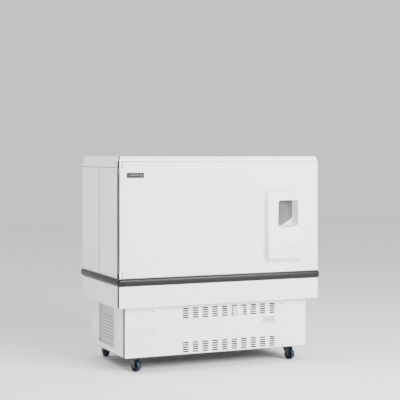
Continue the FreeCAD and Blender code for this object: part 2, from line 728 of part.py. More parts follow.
def electrical_box():
    """White enclosure behind the upper louvres, on a bracket up to the frame."""
    case = box(("98", "158"), (f"{BASE_FRONT} + 8", f"{BASE_FRONT} + 70"),
               (f"{BASE_LOW} + 190", f"{BASE_LOW} + 246"))
    bracket = box(("110", "128"), (f"{BASE_FRONT} + 40", f"{BASE_FRONT} + 60"),
                  (f"{BASE_LOW} + 246", BASE_HIGH))
    keep("electrical_box", fuse(case, bracket))


def cover_screws():
    """Six pan-head screws that hold the front cover."""
    screws = []
    for across in (206, 998):
        for below in (838, 961, 1072):
            start = (f"{LEFT} + {across}", f"{BASE_FRONT} - 2", f"height_total - {below}")
            screws.append(rod("y", start, 2, 5))
    keep("cover_screws", group(*screws))


def rating_plate():
    """Small blank plate on the front cover."""
    across = (f"{LEFT} + 876", f"{LEFT} + 953")
    height = ("height_total - 943", "height_total - 905")
    keep("rating_plate", box(across, (f"{BASE_FRONT} - 0.8", BASE_FRONT), height))


def mains_inlet():
    """Appliance inlet on the back cover: a bezel with a socket and three pins."""
    x, z = INLET_X, INLET_Z
    face = f"({BASE_BACK} + 4)"
    bezel = box((f"{x} - 25", f"{x} + 25"), (BASE_BACK, face), (f"{z} - 15", f"{z} + 15"))
    rear = box((f"{x} - 15", f"{x} + 15"), (f"{BASE_BACK} - gauge - 16", BASE_BACK),
               (f"{z} - 11", f"{z} + 11"))
    socket = box((f"{x} - 12", f"{x} + 12"), (f"{face} - 17", f"{face} + 1"), (f"{z} - 8", f"{z} + 8"))
    pins = [
        box((f"{x} + {across} - 1", f"{x} + {across} + 1"), (f"{face} - 18", f"{face} - 8"),
            (f"{z} + {up} - 2", f"{z} + {up} + 2"))
        for across, up in ((-7, -1), (0, 3), (7, -1))
    ]
    keep("mains_inlet", fuse(cut(fuse(bezel, rear), socket), *pins))


# Controls on the right side of the plinth

PANEL_Y = f"({FRONT} + panel_front)"
PANEL_Z = f"({BASE_HIGH} + panel_low)"
BUTTON_Z = f"({PANEL_Z} + 20)"
BUTTONS = [("button_down", f"({PANEL_Y} + 90)"), ("button_up", f"({PANEL_Y} + 120)")]
ROCKER_Y = f"({PANEL_Y} + 160)"
ROCKER_Z = f"({PANEL_Z} + panel_height / 2)"


def control_panel():
    """Bezel with wells for two buttons and a rocker, and a window recess."""
    plate = box((RIGHT, f"{RIGHT} + panel_proud"), (PANEL_Y, f"{PANEL_Y} + panel_length"),
                (PANEL_Z, f"{PANEL_Z} + panel_height"))
    wells = []
    for _, y in BUTTONS:
        wells.append(box((f"{RIGHT} + 1", f"{RIGHT} + panel_proud + 1"),
                         (f"{y} - button_size / 2 - button_gap", f"{y} + button_size / 2 + button_gap"),
                         (f"{BUTTON_Z} - button_size / 2 - button_gap",
                          f"{BUTTON_Z} + button_size / 2 + button_gap")))
    wells.append(box((f"{RIGHT} + 1", f"{RIGHT} + panel_proud + 1"),
                     (f"{ROCKER_Y} - rocker_width / 2 - 0.5", f"{ROCKER_Y} + rocker_width / 2 + 0.5"),
                     (f"{ROCKER_Z} - rocker_length / 2 - 1", f"{ROCKER_Z} + rocker_length / 2 + 1")))
    wells.append(box((f"{RIGHT} + panel_proud - 1.5", f"{RIGHT} + panel_proud + 1"),
                     (f"{PANEL_Y} + 14", f"{PANEL_Y} + 130"),
                     (f"{PANEL_Z} + 36", f"{PANEL_Z} + 66")))
    wells.append(rod("y", (f"{RIGHT} + 6", f"{ROCKER_Y} - rocker_width / 2 - 2", ROCKER_Z),
                     "rocker_width + 4", "pivot_radius + running_gap"))
    keep("control_panel", cut(plate, *wells))


def button(label, y):
    """Square push button with softened front edges."""
    body = body_at(label.title().replace("_", ""), f"{RIGHT} + button_proud - button_depth", y, BUTTON_Z)
    flat = sketch(body, "YZ")
    rectangle(flat, ("-button_size / 2", "button_size / 2"), ("-button_size / 2", "button_size / 2"))
    pad(body, flat, "button_depth")
    depth = number("button_depth")
    round_edges(body, 1, lambda edge: edge.BoundBox.XMin > depth - 0.1)
    keep(label, body)


def power_switch():
    """Rocker, resting tipped to its off side."""
    thing = doc.addObject("Part::Box", "Rocker")
    thing.setExpression("Length", bound("rocker_depth"))
    thing.setExpression("Width", bound("rocker_width"))
    thing.setExpression("Height", bound("rocker_length"))
    turn = Rotation(Vector(0, 1, 0), 7)
    corner = Vector(-number("rocker_depth") / 2, -number("rocker_width") / 2,
                    -number("rocker_length") / 2)
    middle = Vector(number(f"{RIGHT} + 6"), number(ROCKER_Y), number(ROCKER_Z))
    thing.Placement = FreeCAD.Placement(middle + turn.multVec(corner), turn)
    pivot = rod("y", (f"{RIGHT} + 6", f"{ROCKER_Y} - rocker_width / 2 - 1.5", ROCKER_Z),
                "rocker_width + 3", "pivot_radius")
    keep("power_switch", fuse(thing, pivot))


# Door

def door_outline(flat, inset, notch_width, notch_height):
    """The door's outline with a notch at each hinge corner, from its lower left corner."""
    wide_x = "width_body"
    tall = f"({DOOR_HIGH} - {DOOR_LOW})"
    polygon(flat, [(notch_width, inset), (f"{wide_x} - {inset}", inset),
                   (f"{wide_x} - {inset}", f"{tall} - {inset}"), (notch_width, f"{tall} - {inset}"),
                   (notch_width, f"{tall} - {notch_height}"), (inset, f"{tall} - {notch_height}"),
                   (inset, notch_height), (notch_width, notch_height)])


CUP_X = ("(mouth_left - cup_wall)", "(mouth_left + mouth_width + cup_wall)")
CUP_Z = (f"(height_total - mouth_top - mouth_height - cup_wall - {DOOR_LOW})",
         f"(height_total - mouth_top + cup_wall - {DOOR_LOW})")


def cup_hole(body, offset, depth):
    """The hole that the handle's cup goes through, in a door piece placed like the skin."""
    flat = sketch(body, "XZ", offset)
    rectangle(flat, CUP_X, CUP_Z)
    pocket(body, flat, depth)


def door_skin():
    """Outer pan of the door, hollow at the back."""
    body = body_at("DoorSkin", LEFT, FRONT, DOOR_LOW)
    flat = sketch(body, "XZ")
    door_outline(flat, "0", "notch_width", "notch_height")
    pad(body, flat, "skin_depth", back=True)
    hollow = sketch(body, "XZ", "-skin_depth")
    door_outline(hollow, "gauge", "(notch_width + gauge)", "(notch_height + gauge)")
    pocket(body, hollow, "skin_depth - gauge", forward=True)
    cup_hole(body, "0", "gauge")
    pin_way = sketch(body, "XY")
    circle(pin_way, "hinge_inset", "skin_depth", "pin_radius + 1")
    pocket(body, pin_way, f"{DOOR_HIGH} - {DOOR_LOW}", forward=True)
    keep("door_skin", body)


def door_foam():
    """Insulation inside the pan and the plug."""
    notch = "(notch_height + bush_height + 4)"
    body = body_at("DoorFoam", LEFT, FRONT, DOOR_LOW)
    flat = sketch(body, "XZ", "-gauge")
    door_outline(flat, "gauge", "(notch_width + gauge)", notch)
    pad(body, flat, "skin_depth - gauge", back=True)
    tall = f"({DOOR_HIGH} - {DOOR_LOW})"
    plug = sketch(body, "XZ", "-skin_depth")
    rectangle(plug, ("wall_side + plug_gap + gauge", "width_body - wall_side - plug_gap - gauge"),
              ("wall_floor + plug_gap + gauge - shadow_gap",
               f"{tall} - wall_ceiling - plug_gap - gauge + shadow_gap"))
    pad(body, plug, "plug_depth - gauge", back=True)
    cup_hole(body, "-gauge", "cup_depth - gauge")
    keep("door_foam", body)


def door_inner_panel():
    """White inner pan of the door: the plug's walls and a flange for the seal."""
    plug_z = (f"{LINER_LOW} + plug_gap", f"{LINER_HIGH} - plug_gap")
    outer = box(wide(PLUG_X), (HINGE_Y, PLUG_BACK), plug_z)
    flange = box(wide("width_body / 2", "notch_width"), (HINGE_Y, f"{HINGE_Y} + gauge"),
                 (f"{DOOR_LOW} + 6", f"{DOOR_HIGH} - 6"))
    inner = box(wide(PLUG_X, "gauge"), (f"{HINGE_Y} - 1", f"{PLUG_BACK} - gauge"),
                (f"{plug_z[0]} + gauge", f"{plug_z[1]} - gauge"))
    keep("door_inner_panel", cut(fuse(outer, flange), inner))


def door_gasket():
    """Black magnetic seal round the plug."""
    depth = (f"{HINGE_Y} + gauge", f"{FACE} - 0.4")
    outer = box(wide("width_body / 2", "seal_inset"), depth,
                (f"{DOOR_LOW} + 8", f"{DOOR_HIGH} - 8"))
    inner = box(wide("width_body / 2", "seal_inset + seal_width"),
                (f"{depth[0]} - 1", f"{depth[1]} + 1"),
                (f"{DOOR_LOW} + 8 + seal_width", f"{DOOR_HIGH} - 8 - seal_width"))
    keep("door_gasket", cut(outer, inner))


def hinge_bushes():
    """Bearing blocks in the door's two hinge corners."""
    blocks = []
    for low in (f"({DOOR_HIGH} - notch_height - bush_height - gauge)",
                f"({DOOR_LOW} + notch_height + gauge)"):
        block = box((f"{LEFT} + gauge", f"{LEFT} + notch_width - 3"), (f"{FRONT} + gauge",
                                                                       f"{FRONT} + 14"),
                    (low, f"{low} + bush_height"))
        bore = rod("z", (HINGE_X, HINGE_Y, f"{low} - 1"), "bush_height + 2", "pin_radius + running_gap")
        blocks.append(cut(block, bore))
    keep("hinge_bushes", group(*blocks))


def hinge_brackets():
    """Upper and lower hinge: a lug in the door's notch with a pin, fixed to the cabinet."""
    high = (f"{DOOR_HIGH} - notch_height + 2", DOOR_HIGH)
    low = (DECK_HIGH, f"{DOOR_LOW} + notch_height - 2")
    lug_x = (f"{LEFT} - 4", f"{LEFT} + notch_width - 4.5")
    upper = fuse(
        box(lug_x, (FRONT, FACE), high),
        box((f"{LEFT} - 4", LEFT), (FRONT, f"{FRONT} + 52"), high),
        rod("z", (HINGE_X, HINGE_Y, f"{high[0]} - pin_length"), "pin_length + 2", "pin_radius"),
    )
    lower = fuse(
        box((LEFT, lug_x[1]), (FRONT, FACE), low),
        rod("z", (HINGE_X, HINGE_Y, f"{low[1]} - 2"), "pin_length + 2", "pin_radius"),
    )
    keep("hinge_brackets", group(upper, lower))


def door_handle():
    """Moulded handle housing, deeper towards the bottom, with a finger pocket."""
    body = body_at("DoorHandle", f"{LEFT} + handle_left", FRONT,
                   "height_total - handle_top - handle_height")
    side = sketch(body, "YZ")
    polygon(side, [("0", "0"), ("0", "handle_height"), ("-handle_shallow", "handle_height - 10"),
                   ("-handle_proud", "26")])
    pad(body, side, "handle_width")
    shallow = number("handle_shallow")
    round_edges(body, 9, lambda edge: edge.BoundBox.XLength < 0.01 and edge.Length > 200
                and edge.BoundBox.YMax < -shallow / 2)
    cup = sketch(body, "XZ")
    drop = f"(height_total - handle_top - handle_height - {DOOR_LOW})"
    rectangle(cup, [f"{x} - handle_left" for x in CUP_X], [f"{z} - {drop}" for z in CUP_Z])
    pad(body, cup, "cup_depth", back=True)
    mouth = sketch(body, "XZ", "-(cup_depth - cup_wall)")
    across = ("mouth_left - handle_left", "mouth_left - handle_left + mouth_width")
    high = "(handle_height - (mouth_top - handle_top))"
    polygon(mouth, [(f"{across[0]} + mouth_round", high), (f"{across[1]} - mouth_round", high),
                    (across[1], f"{high} - mouth_round"),
                    (across[1], f"{high} - mouth_height + mouth_round"),
                    (f"{across[1]} - mouth_round", f"{high} - mouth_height"),
                    (f"{across[0]} + mouth_round", f"{high} - mouth_height"),
                    (across[0], f"{high} - mouth_height + mouth_round"),
                    (across[0], f"{high} - mouth_round")])
    pocket(body, mouth, "handle_proud + cup_depth", forward=True)
    keep("door_handle", body)


def badge_plate():
    """Blank badge with rounded corners."""
    body = body_at("Badge", f"{LEFT} + badge_left", FRONT, "height_total - badge_top - badge_height")
    flat = sketch(body, "XZ")
    rectangle(flat, ("0", "badge_width"), ("0", "badge_height"))
    pad(body, flat, 2)
    round_edges(body, 4, lambda edge: runs_along(edge, "y"))
    keep("badge_plate", body)


# Casters

def caster_plates():
    """Four bolted top plates, each with its race and kingpin."""
    plates = []
    for _, x, y, _ in CASTERS:
        plate = box((f"{x} - plate_size / 2", f"{x} + plate_size / 2"),
                    (f"{y} - plate_size / 2", f"{y} + plate_size / 2"),
                    (f"{BASE_LOW} - plate_thick", BASE_LOW))
        race = rod("z", (x, y, f"{BASE_LOW} - 8"), 6, 21)
        pin = rod("z", (x, y, f"{BASE_LOW} - 16"), 10, "kingpin_radius")
        holes = [
            rod("z", (f"{x} + {across}", f"{y} + {along}", f"{BASE_LOW} - plate_thick - 1"),
                "plate_thick + 2", 3.3)
            for across in (-22, 22) for along in (-22, 22)
        ]
        plates.append(cut(fuse(plate, race, pin), *holes))
    keep("caster_plates", group(*plates))


def caster(label, x, y, heading):
    """Swivel fork with its axle, and the wheel: a hub with a tread pressed on."""
    fork = body_at("Fork" + label, x, y, 0, heading)
    legs = sketch(fork, "XZ")
    crown = "(caster_height - 8.4)"
    polygon(legs, [("-20", f"{crown} - 7"), ("-20", crown), ("caster_trail + 8", crown),
                   ("caster_trail + 11", "wheel_radius - 4"), ("caster_trail + 5", "wheel_radius - 10"),
                   ("caster_trail - 5", "wheel_radius - 10"), ("caster_trail - 11", "wheel_radius - 2")])
    pad(fork, legs, "fork_outer", middle=True)
    gap = sketch(fork, "XZ")
    rectangle(gap, ("-60", "caster_trail + 60"), ("0", f"{crown} - 6.5"))
    pocket(fork, gap, "fork_inner", middle=True)
    eye = sketch(fork, "XY")
    circle(eye, "0", "0", "kingpin_radius + running_gap")
    pocket(fork, eye, "caster_height", forward=True)
    axle = sketch(fork, "XZ")
    circle(axle, "caster_trail", "wheel_radius", "axle_radius")
    pad(fork, axle, "fork_outer + 5", middle=True)
    keep("caster_fork_" + label, fork)

    turn = math.radians(heading)
    wheel_x = f"({x} + caster_trail * {math.cos(turn):.9f})"
    wheel_y = f"({y} + caster_trail * {math.sin(turn):.9f})"
    hub = body_at("Hub" + label, wheel_x, wheel_y, "wheel_radius", heading)
    profile = sketch(hub, "YZ")
    polygon(profile, [("-hub_width / 2", "axle_radius + running_gap"), ("hub_width / 2",
                                                                        "axle_radius + running_gap"),
                      ("hub_width / 2", "11"), ("tread_width / 2 - 3", "12"),
                      ("tread_width / 2 - 3", "rim_radius - 3"), ("tread_width / 2", "rim_radius - 2"),
                      ("tread_width / 2", "rim_radius"), ("-tread_width / 2", "rim_radius"),
                      ("-tread_width / 2", "rim_radius - 2"), ("-(tread_width / 2 - 3)",
                                                               "rim_radius - 3"),
                      ("-(tread_width / 2 - 3)", "12"), ("-hub_width / 2", "11")])
    revolve(hub, profile)
    keep("wheel_hub_" + label, hub)

    tread = body_at("Tread" + label, wheel_x, wheel_y, "wheel_radius", heading)
    ring = sketch(tread, "YZ")
    polygon(ring, [("-tread_width / 2", "rim_radius"), ("tread_width / 2", "rim_radius"),
                   ("tread_width / 2", "wheel_radius - 4"), ("tread_width / 2 - 3", "wheel_radius - 0.8"),
                   ("tread_width / 2 - 6", "wheel_radius"), ("-(tread_width / 2 - 6)", "wheel_radius"),
                   ("-(tread_width / 2 - 3)", "wheel_radius - 0.8"), ("-tread_width / 2",
                                                                      "wheel_radius - 4")])
    revolve(tread, ring)
    keep("wheel_tread_" + label, tread)


top_cap()
top_rail()
side_panels()
rear_wrap()
front_frame()
insulation()
inner_liner()
cabinet_deck()
bumper_rail()
shelf_supports()
wire_shelf("shelf_upper", "shelf_high")
wire_shelf("shelf_lower", "shelf_low")
air_duct()
evaporator()
heater()
fan("circulation_fan", CHAMBER_FAN, 76)
fan("condenser_fan", COOLER_FAN, 88)
fan_motors()
plinth()
corner_trim()
base_frame()
front_cover()
base_sides()
base_back()
base_pan()
compressor()
condenser()
refrigerant_pipes()
electrical_box()
cover_screws()
rating_plate()
mains_inlet()
control_panel()
for button_label, button_y in BUTTONS:
    button(button_label, button_y)
power_switch()
door_skin()
door_foam()
door_inner_panel()
door_gasket()
hinge_bushes()
hinge_brackets()
door_handle()
badge_plate()
caster_plates()
for corner, corner_x, corner_y, corner_heading in CASTERS:
    caster(corner, corner_x, corner_y, corner_heading)

doc.recompute()
faults = [thing.Name for thing in doc.Objects if "Invalid" in thing.State or "Error" in thing.State]
if faults:
    raise RuntimeError("failed to build: " + ", ".join(faults))
for thing in subparts:
    if thing.Shape.isNull() or not thing.Shape.isValid():
        raise RuntimeError("bad shape: " + thing.Label)
os.makedirs("parts", exist_ok=True)
for thing in subparts:
    thing.Shape.exportStep(f"parts/{thing.Label}.step")
print(len(subparts), "sub-parts written")
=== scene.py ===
import json
import math

import bmesh
import bpy
from mathutils import Matrix, Vector


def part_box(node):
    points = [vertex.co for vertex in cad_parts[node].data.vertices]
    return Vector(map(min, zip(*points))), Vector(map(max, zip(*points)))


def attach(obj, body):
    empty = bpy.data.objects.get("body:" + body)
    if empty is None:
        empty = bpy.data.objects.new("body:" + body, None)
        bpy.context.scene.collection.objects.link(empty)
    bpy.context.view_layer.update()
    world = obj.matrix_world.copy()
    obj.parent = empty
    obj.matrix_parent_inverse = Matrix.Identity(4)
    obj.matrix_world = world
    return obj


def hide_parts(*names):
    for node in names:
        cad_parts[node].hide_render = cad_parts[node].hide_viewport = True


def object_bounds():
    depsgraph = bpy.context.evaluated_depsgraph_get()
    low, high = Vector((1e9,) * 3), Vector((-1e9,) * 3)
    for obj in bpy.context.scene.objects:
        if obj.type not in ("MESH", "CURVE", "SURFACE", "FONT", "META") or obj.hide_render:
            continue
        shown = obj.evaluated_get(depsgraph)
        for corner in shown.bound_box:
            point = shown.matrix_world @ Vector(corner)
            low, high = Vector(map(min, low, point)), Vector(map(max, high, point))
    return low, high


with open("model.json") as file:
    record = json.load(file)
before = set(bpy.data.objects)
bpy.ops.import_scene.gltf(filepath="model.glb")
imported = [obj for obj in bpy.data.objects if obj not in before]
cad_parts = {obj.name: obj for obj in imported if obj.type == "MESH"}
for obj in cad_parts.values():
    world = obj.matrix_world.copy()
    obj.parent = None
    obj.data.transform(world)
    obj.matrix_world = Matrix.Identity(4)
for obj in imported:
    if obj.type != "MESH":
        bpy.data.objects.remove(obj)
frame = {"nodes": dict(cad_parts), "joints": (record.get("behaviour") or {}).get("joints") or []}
cad_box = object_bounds()
cad = frame["nodes"]
MM = 0.001


# ---- Outer skins -----------------------------------------------------------------------
# The cabinet's outside is folded zinc-coated sheet, powder coated white after folding, so
# every edge has a small fold radius and every face a fine orange-peel skin.

def finish_of(name, colour, roughness, metallic=0.0, shine=0.5):
    """A material with its constants on the shader's own sockets."""
    material = bpy.data.materials.new(name)
    material.use_nodes = True
    shader = material.node_tree.nodes["Principled BSDF"]
    shader.inputs["Base Color"].default_value = (*colour, 1.0)
    shader.inputs["Roughness"].default_value = roughness
    shader.inputs["Metallic"].default_value = metallic
    shader.inputs["Specular IOR Level"].default_value = shine
    return material


def noise_in(material, scale, detail=2.0, stretch=(1.0, 1.0, 1.0)):
    """Noise fixed to the piece, as a number from 0 to 1."""
    tree = material.node_tree
    where = tree.nodes.new("ShaderNodeTexCoord")
    sized = tree.nodes.new("ShaderNodeMapping")
    sized.inputs["Scale"].default_value = stretch
    noise = tree.nodes.new("ShaderNodeTexNoise")
    noise.inputs["Scale"].default_value = scale
    noise.inputs["Detail"].default_value = detail
    tree.links.new(where.outputs["Object"], sized.inputs["Vector"])
    tree.links.new(sized.outputs["Vector"], noise.inputs["Vector"])
    return noise.outputs["Fac"]


def vary_roughness(material, amount, low, high):
    """Lets the gloss wander between two roughnesses."""
    tree = material.node_tree
    spread = tree.nodes.new("ShaderNodeMapRange")
    spread.inputs["From Min"].default_value = 0.3
    spread.inputs["From Max"].default_value = 0.7
    spread.inputs["To Min"].default_value = low
    spread.inputs["To Max"].default_value = high
    tree.links.new(amount, spread.inputs["Value"])
    tree.links.new(spread.outputs["Result"], tree.nodes["Principled BSDF"].inputs["Roughness"])


def worn_finish(name, colour, roughness, noise, gloss, metallic=0.0, shine=0.5):
    """A finish whose gloss wanders over a noise of (scale, detail)."""
    material = finish_of(name, colour, roughness, metallic, shine)
    vary_roughness(material, noise_in(material, *noise), *gloss)
    return material


def vary_colour(material, amount, first, second):
    """Lets the colour wander between two close tones."""
    tree = material.node_tree
    ramp = tree.nodes.new("ShaderNodeValToRGB")
    ramp.color_ramp.elements[0].position = 0.35
    ramp.color_ramp.elements[0].color = (*first, 1.0)
    ramp.color_ramp.elements[1].position = 0.65
    ramp.color_ramp.elements[1].color = (*second, 1.0)
    tree.links.new(amount, ramp.inputs["Fac"])
    tree.links.new(ramp.outputs["Color"], tree.nodes["Principled BSDF"].inputs["Base Color"])


def raise_grain(material, amount, depth, strength=1.0):
    """A fine surface grain of a given depth."""
    tree = material.node_tree
    bump = tree.nodes.new("ShaderNodeBump")
    bump.inputs["Distance"].default_value = depth
    bump.inputs["Strength"].default_value = strength
    tree.links.new(amount, bump.inputs["Height"])
    tree.links.new(bump.outputs["Normal"], tree.nodes["Principled BSDF"].inputs["Normal"])


def powder_coat(name, light, dark):
    """Powder coat: fine peel, broad uneven gloss and a trace of handling marks."""
    material = finish_of(name, light, 0.4)
    raise_grain(material, noise_in(material, 420.0), 0.00012, 0.35)
    vary_roughness(material, noise_in(material, 5.0, 5.0), 0.33, 0.48)
    vary_colour(material, noise_in(material, 2.2, 4.0), dark, light)
    return material


def coat(node, material):
    """Gives a carried-over CAD part its finish."""
    for slot in cad[node].material_slots:
        slot.material = material


def fold_edges(node, radius, segments=3):
    """The small radius of a folded or moulded edge on a CAD part."""
    part = cad[node]
    weld = part.modifiers.new("Weld", "WELD")
    weld.merge_threshold = 0.00002
    fold = part.modifiers.new("Fold", "BEVEL")
    fold.width = radius
    fold.segments = segments
    fold.limit_method = "ANGLE"
    fold.angle_limit = math.radians(40)
    even = part.modifiers.new("Even", "WEIGHTED_NORMAL")
    even.keep_sharp = False


def set_down(name, bm, material, body, smooth=35.0, weld=0.000005):
    """Makes a finished piece of a bmesh: closed, facing outwards, riding on its body."""
    bmesh.ops.remove_doubles(bm, verts=bm.verts, dist=weld)
    bmesh.ops.recalc_face_normals(bm, faces=bm.faces)
    mesh = bpy.data.meshes.new(name)
    bm.to_mesh(mesh)
    bm.free()
    mesh.materials.append(material)
    mesh.shade_smooth()
    mesh.set_sharp_from_angle(angle=math.radians(smooth))
    piece = bpy.data.objects.new(name, mesh)
    bpy.context.scene.collection.objects.link(piece)
    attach(piece, body)
    return piece


def block(bm, low, high, round_by=0.0):
    """A box from its two corners, with its edges rounded."""
    low, high = Vector(low), Vector(high)
    size = high - low
    matrix = Matrix.Translation((low + high) / 2) @ Matrix.Diagonal((*size, 1.0))
    made = bmesh.ops.create_cube(bm, size=1.0, matrix=matrix)["verts"]
    if round_by:
        edges = list(dict.fromkeys(edge for vert in made for edge in vert.link_edges))
        bmesh.ops.bevel(bm, geom=edges, offset=round_by, segments=2, affect="EDGES",
                        profile=0.5, material=-1)


white_coat = powder_coat("white_powder_coat", (0.86, 0.862, 0.858), (0.845, 0.847, 0.84))
FOLD_RADII = {"top_cap": 2.2, "top_rail": 0.5, "side_panel_left": 0.5, "side_panel_right": 0.5,
              "rear_wrap": 0.6, "cabinet_deck": 1.0, "plinth_front": 0.9, "plinth_wrap": 0.6}
for sheet, radius in FOLD_RADII.items():
    coat(sheet, white_coat)
    fold_edges(sheet, radius * MM)
coat("front_cover", white_coat)
coat("base_back", white_coat)

# Dark grey strips fill the upright seam on each side and the joint under the top band: painted
# shade, standing in for the shadow line in these joints.
seam_shade = worn_finish("seam_painted_shade", (0.11, 0.11, 0.112), 0.6, (70.0, 3.0), (0.5, 0.7))
SEAM_SHADE_PROUD = 0.35 * MM
side_low, side_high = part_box("side_panel_left")
wrap_low, wrap_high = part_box("rear_wrap")
shape = bmesh.new()
for face in (wrap_low.x, wrap_high.x):
    left, right = face - SEAM_SHADE_PROUD, face + SEAM_SHADE_PROUD
    block(shape, (left, side_high.y - 1 * MM, side_low.z),
          (right, side_high.y + 6 * MM, side_high.z))
    block(shape, (left, side_low.y, side_high.z - 1.5 * MM),
          (right, wrap_high.y - 2 * MM, side_high.z + 2.5 * MM))
set_down("seam_shade_strips", shape, seam_shade, "cabinet")


# ---- Bumper ------------------------------------------------------------------------------
# A soft dark vinyl bumper pushed into a channel round the deck. It is one extrusion with a
# crowned nose and a lip above and below, mitred and rounded at the corners.

def loop_of(bm, places):
    """A closed loop of edges through some places."""
    verts = [bm.verts.new(place) for place in places]
    return [bm.edges.new((verts[i], verts[(i + 1) % len(verts)])) for i in range(len(verts))]


def with_ends(edges):
    """Edges together with their vertices, as a spin takes them."""
    return edges + list(dict.fromkeys(vert for edge in edges for vert in edge.verts))


def ring_round(bm, profile, x_span, y_span, radius, turns):
    """Runs a closed (out, up) profile round a rectangle with rounded corners."""
    middle = (x_span[0] + x_span[1]) / 2
    edges = loop_of(bm, [(middle, y_span[0] - out, up) for out, up in profile])

    def carry(moving, shift):
        """Draws the profile out along a straight side."""
        grown = bmesh.ops.extrude_edge_only(bm, edges=moving)["geom"]
        new = [item for item in grown if isinstance(item, bmesh.types.BMVert)]
        bmesh.ops.translate(bm, verts=new, vec=shift)
        return [item for item in grown if isinstance(item, bmesh.types.BMEdge)
                and all(vert in new for vert in item.verts)]

    def swing(moving, centre):
        """Takes the profile round one corner."""
        last = bmesh.ops.spin(bm, geom=with_ends(moving), cent=centre, axis=(0, 0, 1),
                              angle=math.pi / 2, steps=turns)["geom_last"]
        return [item for item in last if isinstance(item, bmesh.types.BMEdge)]

    (x0, x1), (y0, y1) = x_span, y_span
    edges = carry(edges, (x1 - radius - middle, 0, 0))
    edges = swing(edges, (x1 - radius, y0 + radius, 0))
    edges = carry(edges, (0, y1 - y0 - 2 * radius, 0))
    edges = swing(edges, (x1 - radius, y1 - radius, 0))
    edges = carry(edges, (x0 - x1 + 2 * radius, 0, 0))
    edges = swing(edges, (x0 + radius, y1 - radius, 0))
    edges = carry(edges, (0, y0 - y1 + 2 * radius, 0))
    edges = swing(edges, (x0 + radius, y0 + radius, 0))
    carry(edges, (middle - x0 - radius, 0, 0))


bumper_vinyl = worn_finish("bumper_vinyl", (0.011, 0.0112, 0.0118), 0.36, (30.0, 4.0),
                           (0.26, 0.4), shine=0.22)
raise_grain(bumper_vinyl, noise_in(bumper_vinyl, 1500.0), 0.0001, 0.3)

deck_low, deck_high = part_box("cabinet_deck")
bumper_low, bumper_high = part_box("bumper_rail")
bumper_out = bumper_high.x - deck_high.x
bumper_mid = (bumper_low.z + bumper_high.z) / 2
half_bumper = (bumper_high.z - bumper_low.z) / 2
CHANNEL, LIP, LIP_TALL, CORNER = 3.2 * MM, 3.8 * MM, 2 * MM, 4 * MM
nose_tall = half_bumper - 3.0 * MM
nose = [(0.0, -half_bumper), (CHANNEL, -half_bumper), (LIP, -half_bumper + LIP_TALL)]
nose += [(LIP + (bumper_out - LIP) * math.cos(angle) ** 0.8, nose_tall * math.sin(angle))
         for angle in (math.radians(15 * step - 82.5) for step in range(12))]
nose += [(LIP, half_bumper - LIP_TALL), (CHANNEL, half_bumper), (0.0, half_bumper)]
shape = bmesh.new()
ring_round(shape, nose, (deck_low.x, deck_high.x), (deck_low.y, deck_high.y), CORNER, 6)
bmesh.ops.translate(shape, verts=shape.verts, vec=(0, 0, bumper_mid))
bumper = set_down("bumper", shape, bumper_vinyl, "cabinet", smooth=50)
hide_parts("bumper_rail")


# ---- Corner profiles ---------------------------------------------------------------------
# Black plastic edge profiles run up the sides at the front corners: one on the door's hinge
# edge, one on each bevelled corner of the lid, and those of the plinth and base cover.

black_plastic = worn_finish("black_plastic", (0.01, 0.01, 0.0105), 0.65, (60.0, 3.0),
                            (0.58, 0.75), shine=0.2)
raise_grain(black_plastic, noise_in(black_plastic, 1800.0), 0.00008, 0.4)
coat("corner_trim", black_plastic)
coat("front_frame", black_plastic)

door_low, door_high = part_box("door_skin")
NOTCH_WIDE, NOTCH_TALL = 20.5 * MM, 34 * MM
shape = bmesh.new()
block(shape, (door_low.x - 0.15 * MM, door_low.y - 0.3 * MM, door_low.z + NOTCH_TALL),
      (door_low.x + 2.6 * MM, door_low.y + 7.5 * MM, door_high.z - NOTCH_TALL), 0.15 * MM)
set_down("door_edge_profile", shape, black_plastic, "door")

cap_low, cap_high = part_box("top_cap")
CAP_SLOPE = math.tan(math.radians(13.7))
PROFILE_ABOVE, PROFILE_BELOW = 0.8 * MM, 0.5 * MM
shape = bmesh.new()
for side, edge in ((1, cap_low.x), (-1, cap_high.x)):
    corners = []
    for rise in (PROFILE_BELOW, cap_high.z - cap_low.z - PROFILE_ABOVE):
        inset = rise * CAP_SLOPE
        corners += [shape.verts.new((edge + side * (inset + out), cap_low.y + inset + back,
                                     cap_low.z + rise))
                    for out in (-0.7 * MM, 1.0 * MM) for back in (-0.3 * MM, 16 * MM)]
    bmesh.ops.convex_hull(shape, input=corners)
set_down("lid_corner_profiles", shape, black_plastic, "cabinet")


# ---- Door --------------------------------------------------------------------------------
# A folded white pan filled with foam, with a moulded inner pan and a black seal. The skin is
# the CAD part with its fold radius.

coat("door_skin", white_coat)
fold_edges("door_skin", 1.4 * MM)
white_moulding = worn_finish("white_moulding", (0.87, 0.87, 0.862), 0.38, (25.0, 4.0), (0.32, 0.45))
raise_grain(white_moulding, noise_in(white_moulding, 1100.0), 0.00006, 0.3)
coat("door_inner_panel", white_moulding)
fold_edges("door_inner_panel", 0.6 * MM)
coat("hinge_bushes", white_moulding)

# The skin's back flange covers the foam round the inner pan, clear of the hinge notches.
pan_low, pan_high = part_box("door_inner_panel")
HALF_FLANGE, RIM_INSET = 0.3 * MM, 0.1 * MM
shape = bmesh.new()
for left, right, low, high in (
        (door_low.x + RIM_INSET, pan_low.x, door_low.z + NOTCH_TALL, door_high.z - NOTCH_TALL),
        (pan_high.x, door_high.x - RIM_INSET, door_low.z + RIM_INSET, door_high.z - RIM_INSET),
        (door_low.x + NOTCH_WIDE, pan_high.x, door_low.z + RIM_INSET, pan_low.z),
        (door_low.x + NOTCH_WIDE, pan_high.x, pan_high.z, door_high.z - RIM_INSET)):
    block(shape, (left, pan_low.y - HALF_FLANGE, low), (right, pan_low.y + HALF_FLANGE, high))
set_down("door_back_flange", shape, white_coat, "door", weld=0.0)

